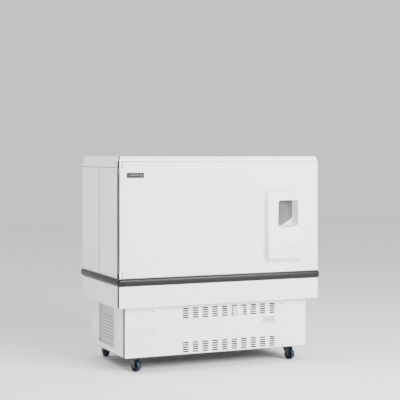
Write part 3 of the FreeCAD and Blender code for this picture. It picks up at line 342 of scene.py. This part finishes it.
# The seal is a soft black extrusion: a flat foot, two bellows folds and a magnet pocket.
seal_rubber = worn_finish("seal_rubber", (0.03, 0.03, 0.033), 0.55, (40.0, 3.0), (0.48, 0.65))
seal_low, seal_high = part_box("door_gasket")
seal_depth = seal_high.y - seal_low.y
SEAL_WIDE, SEAL_CORNER = 14 * MM, 16 * MM
half_seal = [(0.0, 0.0), (0.0, 1.2 * MM), (-2.5 * MM, 2.0 * MM), (-0.8 * MM, 3.6 * MM),
             (-2.5 * MM, 5.0 * MM), (-0.6 * MM, 6.2 * MM), (-1.4 * MM, seal_depth)]
bellows = half_seal + [(-SEAL_WIDE - out, back) for out, back in reversed(half_seal)]
shape = bmesh.new()
ring_round(shape, bellows, (seal_low.x, seal_high.x), (seal_low.z, seal_high.z),
           SEAL_CORNER, 8)
# The ring is made flat, then stood up behind the door.
upright = Matrix(((1, 0, 0, 0), (0, 0, 1, seal_low.y), (0, 1, 0, 0), (0, 0, 0, 1)))
bmesh.ops.transform(shape, matrix=upright, verts=shape.verts)
seal = set_down("door_seal", shape, seal_rubber, "door", smooth=25)
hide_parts("door_gasket")


# ---- Handle ------------------------------------------------------------------------------
# One white moulding on the door, deeper towards the bottom. A scooped finger pocket runs back
# through the skin; its left edge is the grip. Two shallow curved steps lie below it.

def rounded_outline(corners, radii, steps=8):
    """Points of a convex outline, counter-clockwise, with an arc of its own at each corner."""
    points = []
    for index, corner in enumerate(corners):
        corner = Vector(corner)
        before = (Vector(corners[index - 1]) - corner).normalized()
        after = (Vector(corners[(index + 1) % len(corners)]) - corner).normalized()
        half = before.angle(after) / 2
        centre = corner + (before + after).normalized() * radii[index] / math.sin(half)
        start = corner + before * radii[index] / math.tan(half) - centre
        sweep = math.pi - 2 * half
        for step in range(steps + 1):
            turn = Matrix.Rotation(sweep * step / steps, 2)
            points.append(centre + turn @ start)
    return points


def bridge(bm, loops):
    """Joins each loop to the next with a band of faces."""
    for first, second in zip(loops, loops[1:]):
        bmesh.ops.bridge_loops(bm, edges=first + second)


handle_low, handle_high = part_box("door_handle")
face_y = door_low.y
bottom = handle_low.z
tall = handle_high.z - handle_low.z
wide = handle_high.x - handle_low.x
SHALLOW = 20 * MM
DEEP = face_y - handle_low.y
TOP_SLOPE, BOTTOM_SLOPE = 10 * MM, 26 * MM


def front_of_handle(z):
    """The sloping front: how far it stands before the door at a height above its bottom."""
    share = (tall - TOP_SLOPE - z) / (tall - TOP_SLOPE - BOTTOM_SLOPE)
    return face_y - SHALLOW - (DEEP - SHALLOW) * share


def wall_ring(foot, brow, across, forward):
    """A ring part of the way from the foot on the door to the brow on the sloping front."""
    places = []
    for low, high in zip(foot, brow):
        flat = low.lerp(high, across)
        surface = front_of_handle(high.y)
        places.append((handle_low.x + flat.x, face_y + (surface - face_y) * forward,
                       bottom + flat.y))
    return places


def front_ring(outline, sink=0.0):
    """An outline laid on the sloping front, or sunk a little below it."""
    return [(handle_low.x + p.x, front_of_handle(p.y) + sink, bottom + p.y) for p in outline]


def rectangle(left, right, low, high):
    """Four corners, counter-clockwise."""
    return [(left, low), (right, low), (right, high), (left, high)]


foot = rounded_outline(rectangle(0, wide, 0, tall), [16 * MM] * 4)
brow = rounded_outline(rectangle(3 * MM, wide - 3 * MM, BOTTOM_SLOPE, tall - TOP_SLOPE),
                       [14 * MM] * 4)
inner = rounded_outline(rectangle(8 * MM, wide - 8 * MM, BOTTOM_SLOPE + 6 * MM,
                                  tall - TOP_SLOPE - 6 * MM), [12 * MM] * 4)
shape = bmesh.new()
rings = [loop_of(shape, wall_ring(foot, brow, across, forward))
         for across, forward in ((0, 0), (0.5, 0.55), (0.8, 0.84), (0.93, 0.945), (1.0, 0.985))]
border = loop_of(shape, front_ring(inner))
bridge(shape, rings + [border])

# The pocket: steep at the grip edge and the top, scooped at the right and below.
cup_back = handle_high.y - 2.5 * MM
mouth = rounded_outline([(63 * MM, 197 * MM), (140 * MM, 197 * MM), (192 * MM, 205 * MM),
                         (192 * MM, 350 * MM), (70 * MM, 350 * MM)],
                        [9 * MM, 60 * MM, 30 * MM, 9 * MM, 15 * MM])
floor_line = rounded_outline([(69 * MM, 207 * MM), (112 * MM, 212 * MM), (181 * MM, 258 * MM),
                              (181 * MM, 346 * MM), (76 * MM, 346 * MM)],
                             [7 * MM, 40 * MM, 34 * MM, 8 * MM, 12 * MM])
mouth_middle = sum(mouth, Vector((0, 0))) / len(mouth)


def pocket_ring(angle):
    """A ring of the scoop: steep at the surface, flattening towards the floor."""
    places = []
    for low, high in zip(mouth, floor_line):
        flat = low.lerp(high, 1 - math.cos(angle))
        start = front_of_handle(low.y)
        places.append((handle_low.x + flat.x, start + (cup_back - start) * math.sin(angle),
                       bottom + flat.y))
    return places


lip = [low + (low - mouth_middle).normalized() * 1.6 * MM for low in mouth]
mouth_rim = loop_of(shape, front_ring(lip))
between = [low.lerp(out, 0.35) for low, out in zip(mouth, lip)]
soft_lip = loop_of(shape, front_ring(between, 0.5 * MM))
scoop = [loop_of(shape, pocket_ring(math.radians(angle)))
         for angle in (2.5, 12, 25, 38, 50, 62, 74, 84)]
pocket_floor = loop_of(shape, pocket_ring(math.radians(90)))
bridge(shape, [mouth_rim, soft_lip] + scoop + [pocket_floor])
bmesh.ops.triangle_fill(shape, use_beauty=True, edges=pocket_floor)


def smile(bm, middle_x, middle_z, half_wide, drop, depth):
    """A crescent step in the front: a ramp that deepens down to a curved lower edge."""
    steps = 20
    along = [-1 + 2 * step / steps for step in range(steps + 1)]
    low = [Vector((middle_x + half_wide * a, middle_z - drop * (1 - a * a))) for a in along]
    high = [Vector((middle_x + half_wide * a, middle_z - 0.35 * drop * (1 - a * a)))
            for a in reversed(along[1:-1])]
    sinks = [0.3 * MM + depth * (1 - a * a) ** 0.6 for a in along] + [0.3 * MM] * len(high)
    outer = loop_of(bm, front_ring(low + high))
    middle = Vector((middle_x, middle_z - 0.6 * drop))
    bed_places = []
    for place, sink in zip(low + high, sinks):
        inside = place.lerp(middle, 0.02) + Vector((0, 0.25 * sink))
        bed_places.append((handle_low.x + inside.x, front_of_handle(inside.y) + sink,
                           bottom + inside.y))
    bed = loop_of(bm, bed_places)
    bridge(bm, [outer, bed])
    bmesh.ops.triangle_fill(bm, use_beauty=True, edges=bed)
    return outer


upper_smile = smile(shape, 132 * MM, 106 * MM, 66 * MM, 38 * MM, 12 * MM)
lower_smile = smile(shape, 132 * MM, 62 * MM, 62 * MM, 32 * MM, 10 * MM)
bmesh.ops.triangle_fill(shape, use_beauty=True,
                        edges=border + mouth_rim + upper_smile + lower_smile)
handle = set_down("handle", shape, white_moulding, "door", smooth=40)
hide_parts("door_handle")

# A dark grey tray lies on the floor of the pocket: painted shade, standing in for the shade deep in
# the pocket. It is an open tray, so its faces are turned to look out of the pocket.
pocket_painted_shade = worn_finish("pocket_painted_shade", (0.085, 0.085, 0.087), 0.5, (30.0, 3.0), (0.42, 0.58))
shape = bmesh.new()
liner = [loop_of(shape, pocket_ring(math.radians(angle))) for angle in (74, 90)]
bridge(shape, liner)
bmesh.ops.triangle_fill(shape, use_beauty=True, edges=liner[1])
bmesh.ops.translate(shape, verts=shape.verts, vec=(0, -0.5 * MM, 0))
shade_tray = set_down("pocket_shade_liner", shape, pocket_painted_shade, "door", smooth=60)
shade_tray.data.flip_normals()


# ---- Badge and hinges --------------------------------------------------------------------
# A small black blank badge with a pale bar is stuck on the door. White moulded caps cover the
# hinge lugs in the door's notched corners, and cross-head screws hold the upper plate.

badge_gloss = worn_finish("badge_gloss", (0.008, 0.008, 0.009), 0.2, (90.0, 3.0), (0.14, 0.28))
pale_bar = worn_finish("badge_bar", (0.07, 0.07, 0.072), 0.4, (200.0, 2.0), (0.24, 0.4), 0.2)
coat("badge_plate", badge_gloss)
fold_edges("badge_plate", 0.6 * MM, 2)
badge_low, badge_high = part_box("badge_plate")
MARK_PROUD, MARK_SUNK, MARK_ROUND = 0.35 * MM, 0.4 * MM, 0.15 * MM
shape = bmesh.new()
for left, right, low, high in (
        (badge_low.x + 12 * MM, badge_high.x - 30 * MM, 11.5 * MM, 16.5 * MM),
        (badge_high.x - 22 * MM, badge_high.x - 12 * MM, 9 * MM, 19 * MM)):
    block(shape, (left, badge_low.y - MARK_PROUD, badge_low.z + low),
          (right, badge_low.y + MARK_SUNK, badge_low.z + high), MARK_ROUND)
set_down("badge_marks", shape, pale_bar, "door")


def cylinder(bm, radius, length, matrix, segments=24):
    """A round bar along the Z of its matrix."""
    bmesh.ops.create_cone(bm, cap_ends=True, segments=segments, radius1=radius, radius2=radius,
                          depth=length, matrix=matrix)


# Each hinge is a lug in the door's notch with a pin; the upper one has a plate on the side.
hinge_low, hinge_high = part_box("hinge_brackets")
seal_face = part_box("front_frame")[0].y
upper_low = hinge_high.z - 30 * MM
PIN_RADIUS, PIN_LONG, CAP_ROUND = 4 * MM, 30 * MM, 0.9 * MM
lugs = ((upper_low, hinge_high.z, hinge_high.z - 43 * MM, hinge_low.x),
        (hinge_low.z, hinge_low.z + 32 * MM, hinge_low.z + 45 * MM, door_low.x - 0.8 * MM))
caps, edges = bmesh.new(), bmesh.new()
for low, high, pin_middle, outside in lugs:
    block(caps, (door_low.x + 0.3 * MM, door_low.y, low),
          (door_low.x + 15.4 * MM, seal_face, high), CAP_ROUND)
    cylinder(caps, PIN_RADIUS, PIN_LONG,
             Matrix.Translation((door_low.x + 9 * MM, door_low.y + 8 * MM, pin_middle)))
    block(edges, (outside, door_low.y - 0.2 * MM, low),
          (door_low.x + 0.8 * MM, seal_face, high), 0.5 * MM)
block(edges, (door_low.x - 0.7 * MM, seal_face + 0.2 * MM, hinge_low.z),
      (door_low.x + 0.5 * MM, seal_face + 15 * MM, upper_low - 0.2 * MM), 0.3 * MM)
block(caps, (hinge_low.x, seal_face, upper_low),
      (door_low.x + 0.3 * MM, hinge_high.y, hinge_high.z), CAP_ROUND)
hinges = set_down("hinge_caps", caps, white_coat, "cabinet")
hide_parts("hinge_brackets")
set_down("hinge_edges", edges, black_plastic, "cabinet")

zinc = worn_finish("bright_zinc", (0.17, 0.173, 0.182), 0.36, (120.0, 4.0), (0.25, 0.45), 0.95)
vary_colour(zinc, noise_in(zinc, 55.0, 3.0), (0.14, 0.14, 0.135), (0.18, 0.184, 0.195))


def pan_head(bm, place, outward, radius, height):
    """A domed screw head with a cross recess, facing outward."""
    dome = [(0.0, height), (radius * 0.45, height * 0.94), (radius * 0.8, height * 0.68),
            (radius * 0.97, height * 0.3), (radius, 0.0)]
    before = set(bm.verts)
    verts = [bm.verts.new((across, 0, up)) for across, up in dome]
    edges = [bm.edges.new(pair) for pair in zip(verts, verts[1:])]
    bmesh.ops.spin(bm, geom=verts + edges, cent=(0, 0, 0), axis=(0, 0, 1), angle=math.tau,
                   steps=16, use_merge=True)
    for wide_x, wide_y in ((radius * 1.1, radius * 0.2), (radius * 0.2, radius * 1.1)):
        block(bm, (-wide_x / 2, -wide_y / 2, height * 0.8), (wide_x / 2, wide_y / 2, height * 1.02))
    made = [vert for vert in bm.verts if vert not in before]
    turn = Vector((0, 0, 1)).rotation_difference(Vector(outward)).to_matrix().to_4x4()
    bmesh.ops.transform(bm, matrix=Matrix.Translation(place) @ turn, verts=made)


shape = bmesh.new()
for below_top in (25 * MM, 7 * MM):
    pan_head(shape, (hinge_low.x, hinge_low.y + 45 * MM, hinge_high.z - below_top),
             (-1, 0, 0), 3.2 * MM, 1.4 * MM)
set_down("hinge_screws", shape, zinc, "cabinet")


# ---- Chamber -----------------------------------------------------------------------------
# Brushed stainless liner, slotted uprights, wire shelves that lift out, and a duct cover with
# a wire guard over the fan inlet.

stainless = finish_of("brushed_stainless", (0.6, 0.61, 0.62), 0.32, 1.0)
brushed = noise_in(stainless, 60.0, 3.0, (1.0, 30.0, 30.0))
vary_roughness(stainless, brushed, 0.24, 0.42)
raise_grain(stainless, brushed, 0.00005, 0.5)
for node in ("inner_liner", "air_duct", "shelf_supports", "shelf_upper", "shelf_lower"):
    coat(node, stainless)
fold_edges("air_duct", 1.0 * MM)
foam = finish_of("foam", (0.8, 0.7, 0.42), 0.9)
raise_grain(foam, noise_in(foam, 500.0, 4.0), 0.0006)
coat("insulation", foam)
coat("door_foam", foam)

fan_black = worn_finish("fan_black", (0.03, 0.03, 0.032), 0.45, (50.0, 2.0), (0.36, 0.55))
for node in ("circulation_fan", "condenser_fan", "fan_motors"):
    coat(node, fan_black)
fin_metal = worn_finish("fin_aluminium", (0.7, 0.71, 0.72), 0.38, (80.0, 2.0), (0.3, 0.5), 1.0)
coat("evaporator", fin_metal)
coil_black = worn_finish("coil_black", (0.012, 0.012, 0.0125), 0.5, (60.0, 3.0),
                         (0.42, 0.6), shine=0.3)
coat("condenser", coil_black)
heater_black = worn_finish("heater_sheath", (0.08, 0.075, 0.07), 0.5, (90.0, 3.0), (0.4, 0.65), 0.8)
coat("heater", heater_black)


def wire_ring(bm, centre, radius, thick):
    """A round wire bent into a circle that faces the front."""
    section = [centre + Vector((radius + thick * math.cos(angle), thick * math.sin(angle), 0))
               for angle in (math.tau * step / 8 for step in range(8))]
    bmesh.ops.spin(bm, geom=with_ends(loop_of(bm, section)), cent=centre, axis=(0, 1, 0),
                   angle=math.tau, steps=48, use_merge=True)


duct_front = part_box("air_duct")[0].y
fan_low, fan_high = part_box("circulation_fan")
inlet = Vector(((fan_low.x + fan_high.x) / 2, duct_front - 2 * MM, (fan_low.z + fan_high.z) / 2))
RING_WIRE, SPOKE_WIRE, SPOKE_LONG = 1.1 * MM, 1.3 * MM, 176 * MM
shape = bmesh.new()
for radius in (14, 28, 42, 56, 70, 84):
    wire_ring(shape, inlet, radius * MM, RING_WIRE)
spoke_place = Matrix.Translation(inlet - Vector((0, 1.2 * MM, 0)))
for step in range(4):
    cylinder(shape, SPOKE_WIRE, SPOKE_LONG,
             spoke_place @ Matrix.Rotation(math.pi / 4 * step, 4, "Y"), 8)
set_down("fan_guard", shape, zinc, "cabinet", weld=0.0)


# ---- Plinth ------------------------------------------------------------------------------
# White hole plugs on both sides; on the right a dark bezel with a blank display, two sprung
# buttons and a rocker switch.

plinth_low, plinth_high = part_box("plinth_wrap")
shape = bmesh.new()
for side, face in ((-1, plinth_low.x), (1, plinth_high.x)):
    for behind_door, below_deck in ((314 * MM, 92 * MM), (114 * MM, 51 * MM)):
        pan_head(shape, (face, door_low.y + behind_door, deck_high.z - below_deck),
                 (side, 0, 0), 5.5 * MM, 1.8 * MM)
set_down("plinth_plugs", shape, white_moulding, "cabinet")

bezel_grey = worn_finish("bezel_grey", (0.1, 0.105, 0.115), 0.45, (60.0, 3.0), (0.38, 0.55))
coat("control_panel", bezel_grey)
fold_edges("control_panel", 0.7 * MM)
button_grey = worn_finish("button_grey", (0.3, 0.31, 0.33), 0.4, (150.0, 2.0), (0.33, 0.5))
coat("button_up", button_grey)
coat("button_down", button_grey)
coat("power_switch", badge_gloss)
fold_edges("power_switch", 0.6 * MM)

display_glass = worn_finish("display_glass", (0.01, 0.014, 0.016), 0.08, (20.0, 2.0), (0.05, 0.12))
bezel_low, bezel_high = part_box("control_panel")
shape = bmesh.new()
block(shape, (bezel_high.x - 1.6 * MM, bezel_low.y + 14.5 * MM, bezel_low.z + 36.5 * MM),
      (bezel_high.x - 0.4 * MM, bezel_low.y + 129.5 * MM, bezel_low.z + 65.5 * MM), 0.4 * MM)
set_down("display_window", shape, display_glass, "cabinet")


# ---- Base --------------------------------------------------------------------------------
# White folded covers on a channel frame. Six screws hold the front cover, and a blank plate
# is stuck on it. Behind the slots are the compressor, the coil and a white electrical box.

# The base side panels are coloured mid grey as painted shade: it stands in for the shade under the
# plinth's overhang on the recessed sides.
base_side_shade_grey = powder_coat("base_side_painted_shade_coat", (0.5, 0.502, 0.5), (0.48, 0.482, 0.48))
coat("base_side_left", base_side_shade_grey)
coat("base_side_right", base_side_shade_grey)
coat("base_frame", white_coat)
coat("electrical_box", white_moulding)
fold_edges("electrical_box", 1.5 * MM)
pan_grey = worn_finish("pan_grey", (0.06, 0.061, 0.063), 0.45, (30.0, 4.0), (0.36, 0.6), 0.4)
coat("base_pan", pan_grey)

# A near-black sheet lines the inside of the base: the back, the sides and the ceiling. It is
# painted shade, standing in for the shade inside the base seen through the slots.
base_shade_black = finish_of("base_painted_shade", (0.006, 0.006, 0.006), 0.95, shine=0.0)
raise_grain(base_shade_black, noise_in(base_shade_black, 900.0, 4.0), 0.0005)
cover_low, cover_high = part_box("front_cover")
back_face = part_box("base_back")[1].y
LINING, SIDE_DEPTH = 1 * MM, 17.5 * MM
lined_low = Vector((cover_low.x + SIDE_DEPTH, cover_low.y + 4 * MM, cover_low.z + 3 * MM))
lined_high = Vector((cover_high.x - SIDE_DEPTH, back_face - 3 * MM, cover_high.z - 0.4 * MM))
shape = bmesh.new()
for low, high in (((lined_low.x, lined_high.y - LINING, lined_low.z), lined_high),
                  (lined_low, (lined_low.x + LINING, lined_high.y, lined_high.z)),
                  ((lined_high.x - LINING, lined_low.y, lined_low.z), lined_high),
                  ((lined_low.x, lined_low.y, lined_high.z - LINING), lined_high)):
    block(shape, low, high)
set_down("base_shade_lining", shape, base_shade_black, "cabinet", weld=0.0)
shell_black = worn_finish("compressor_black", (0.018, 0.018, 0.02), 0.3, (18.0, 4.0), (0.22, 0.42))
coat("compressor", shell_black)
copper = finish_of("copper", (0.78, 0.4, 0.25), 0.3, 1.0)
vary_colour(copper, noise_in(copper, 40.0, 3.0), (0.62, 0.3, 0.19), (0.82, 0.44, 0.28))
coat("refrigerant_pipes", copper)
coat("mains_inlet", black_plastic)
# The white plate is coloured mid grey: painted shade, standing in for the shadow lines at its left
# and bottom edges.
plate_grey = worn_finish("plate_grey", (0.5, 0.505, 0.51), 0.3, (50.0, 2.0), (0.22, 0.4))
coat("rating_plate", plate_grey)

screw_low, screw_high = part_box("cover_screws")
dark_screw = worn_finish("dark_screw", (0.09, 0.09, 0.095), 0.35, (300.0, 2.0), (0.28, 0.5), 0.8)
INSET, MIDDLE_ROW = 5 * MM, 116 * MM
shape = bmesh.new()
for x in (screw_low.x + INSET, screw_high.x - INSET):
    for z in (screw_low.z + INSET, screw_low.z + MIDDLE_ROW, screw_high.z - INSET):
        pan_head(shape, (x, screw_high.y, z), (0, -1, 0), 4.6 * MM, 1.9 * MM)
screws = set_down("front_cover_screws", shape, dark_screw, "cabinet")
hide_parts("cover_screws")


# ---- Casters -----------------------------------------------------------------------------
# Swivel casters: a pressed zinc-plated fork on a ball race, a blue elastic tread on a black
# nylon hub with thread guards, and a nutted axle.

blue_tread = worn_finish("blue_tread", (0.002, 0.013, 0.034), 0.45, (120.0, 4.0),
                         (0.35, 0.58), shine=0.35)
vary_colour(blue_tread, noise_in(blue_tread, 35.0, 4.0), (0.0018, 0.011, 0.029),
            (0.0024, 0.015, 0.038))
raise_grain(blue_tread, noise_in(blue_tread, 900.0, 3.0), 0.0001)
hub_nylon = worn_finish("hub_nylon", (0.003, 0.003, 0.0035), 0.5, (200.0, 3.0),
                        (0.44, 0.6), shine=0.15)
# The forks' zinc is coloured far darker than zinc plate: painted shade for the forks sitting in the
# shadow under the base.
fork_zinc_painted_shade = worn_finish("fork_zinc_painted_shade", (0.07, 0.071, 0.074), 0.38, (120.0, 4.0), (0.28, 0.5), 0.9)
vary_colour(fork_zinc_painted_shade, noise_in(fork_zinc_painted_shade, 55.0, 3.0), (0.06, 0.06, 0.058), (0.08, 0.082, 0.088))
coat("caster_plates", fork_zinc_painted_shade)


def turned(bm, profile, steps):
    """A closed (along, radius) profile turned about the Y axis."""
    rim = loop_of(bm, [(0, along, radius) for along, radius in profile])
    bmesh.ops.spin(bm, geom=with_ends(rim), cent=(0, 0, 0), axis=(0, 1, 0), angle=math.tau,
                   steps=steps, use_merge=True)


joint_at = {joint["name"]: Vector(joint["pos_m"])
            for joint in frame["joints"] if "pos_m" in joint}
WHEEL, TREAD_HALF, RIM, GUARD = 31.5 * MM, 12.5 * MM, 20 * MM, 25.5 * MM
FORK_IN, FORK_OUT, TRAIL = 16 * MM, 18.5 * MM, 22 * MM
FORK_TOP, CROWN_MIDDLE = 72.2 * MM, 68.4 * MM
across = Matrix.Rotation(math.pi / 2, 4, "X")

for corner in ("front_left", "front_right", "rear_left", "rear_right"):
    pivot, axle = joint_at["swivel_" + corner], joint_at["roll_" + corner]
    heading = Matrix.Rotation(math.atan2(axle.y - pivot.y, axle.x - pivot.x), 4, "Z")
    at_wheel = Matrix.Translation(axle) @ heading
    at_fork = Matrix.Translation((pivot.x, pivot.y, 0)) @ heading

    shape = bmesh.new()
    crown = [(TREAD_HALF - 4.5 * MM, WHEEL - 0.35 * MM), (TREAD_HALF - 8 * MM, WHEEL)]
    outline = [(-TREAD_HALF, RIM), (TREAD_HALF, RIM), (TREAD_HALF, WHEEL - 5 * MM),
               (TREAD_HALF - 1 * MM, WHEEL - 2.4 * MM), *crown]
    outline += [(-along, radius) for along, radius in reversed(outline[3:])]
    outline += [(-TREAD_HALF, WHEEL - 5 * MM)]
    turned(shape, outline, 64)
    bmesh.ops.transform(shape, matrix=at_wheel, verts=shape.verts)
    tread = set_down("tread_" + corner, shape, blue_tread, "wheel_" + corner)
    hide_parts("wheel_tread_" + corner)

    shape = bmesh.new()
    outline = [(14 * MM, 4.6 * MM), (14 * MM, 8 * MM), (13.6 * MM, 9 * MM),
               (12.6 * MM, 10.5 * MM), (12.2 * MM, 16 * MM), (13.4 * MM, 18 * MM),
               (13.7 * MM, 23 * MM), (13.2 * MM, GUARD),
               (TREAD_HALF + 0.05 * MM, GUARD + 0.3 * MM), (TREAD_HALF + 0.05 * MM, RIM)]
    outline += [(-along, radius) for along, radius in reversed(outline)]
    turned(shape, outline, 48)
    bmesh.ops.transform(shape, matrix=at_wheel, verts=shape.verts)
    hub = set_down("hub_" + corner, shape, hub_nylon, "wheel_" + corner, smooth=30)
    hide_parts("wheel_hub_" + corner)

    # The fork: two tapered legs below a dished crown, pressed from one sheet.
    shape = bmesh.new()
    leg = rounded_outline([(15 * MM, 22 * MM), (29 * MM, 22 * MM), (30 * MM, 71 * MM),
                           (-14 * MM, 71 * MM), (-14 * MM, 66 * MM)],
                          [6 * MM, 6 * MM, 2 * MM, 2 * MM, 5 * MM], 4)
    for side in (-1, 1):
        near = [shape.verts.new((p.x, side * FORK_IN, p.y)) for p in leg]
        face = shape.faces.new(near)
        grown = bmesh.ops.extrude_face_region(shape, geom=[face])["geom"]
        moved = [item for item in grown if isinstance(item, bmesh.types.BMVert)]
        bmesh.ops.translate(shape, verts=moved, vec=(0, side * (FORK_OUT - FORK_IN), 0))
    block(shape, (-20 * MM, -FORK_OUT, FORK_TOP - 2.6 * MM),
          (31.2 * MM, FORK_OUT, FORK_TOP), 1.0 * MM)
    bmesh.ops.create_cone(shape, cap_ends=True, segments=36, radius1=20 * MM, radius2=17 * MM,
                          depth=3.4 * MM, matrix=Matrix.Translation((0, 0, CROWN_MIDDLE)))
    # On the axle: a nut and a washer outside each leg, and the bolt between them.
    for along, radius, length, segments in (
            (-20.2, 6.2, 3.6, 6), (-18.9, 7.6, 1.0, 20), (20.2, 6.2, 3.6, 6),
            (18.9, 7.6, 1.0, 20), (0.0, 4.0, 39.0, 20)):
        place = Matrix.Translation((TRAIL, along * MM, WHEEL)) @ across
        cylinder(shape, radius * MM, length * MM, place, segments)
    bmesh.ops.transform(shape, matrix=at_fork, verts=shape.verts)
    fork = set_down("fork_" + corner, shape, fork_zinc_painted_shade, "caster_" + corner, weld=0.0)
    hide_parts("caster_fork_" + corner)


# ---- Studio ------------------------------------------------------------------------------
# A pale floor, one large soft light in front and a smaller one high on the left. The camera
# stands level with the lid, 23.4 degrees round to the left.

floor_grey = worn_finish("floor", (0.93, 0.93, 0.93), 0.85, (3.0, 3.0), (0.8, 0.9))
shape = bmesh.new()
bmesh.ops.create_grid(shape, x_segments=4, y_segments=4, size=14.0)
mesh = bpy.data.meshes.new("floor")
shape.to_mesh(mesh)
shape.free()
mesh.materials.append(floor_grey)
floor = bpy.data.objects.new("floor", mesh)
bpy.context.scene.collection.objects.link(floor)

world = bpy.data.worlds.new("studio")
world.use_nodes = True
world.node_tree.nodes["Background"].inputs["Color"].default_value = (1.0, 1.0, 1.0, 1.0)
world.node_tree.nodes["Background"].inputs["Strength"].default_value = 0.95
bpy.context.scene.world = world


def soft_light(name, place, aim, size, watts):
    """A rectangular lamp turned towards a point."""
    lamp = bpy.data.lights.new(name, "AREA")
    lamp.shape = "RECTANGLE"
    lamp.size, lamp.size_y = size
    lamp.energy = watts
    light = bpy.data.objects.new(name, lamp)
    light.location = place
    light.rotation_euler = (Vector(aim) - Vector(place)).to_track_quat("-Z", "Y").to_euler()
    bpy.context.scene.collection.objects.link(light)


soft_light("front", (1.6, -4.6, 2.6), (0.1, 0.0, 0.7), (3.4, 2.4), 680)
soft_light("high_left", (-1.9, 0.2, 2.5), (-0.6, 0.0, 0.9), (1.4, 0.9), 40)

lens = bpy.data.cameras.new("camera")
lens.lens = 100.2
lens.sensor_width = 36.0
lens.shift_y = -0.109
camera = bpy.data.objects.new("camera", lens)
camera.location = (-2.554, door_low.y - 5.584, cad_box[1].z)
ahead = Vector((0.3977, 0.9175, 0.0))
camera.rotation_euler = ahead.to_track_quat("-Z", "Y").to_euler()
bpy.context.scene.collection.objects.link(camera)
bpy.context.scene.camera = camera
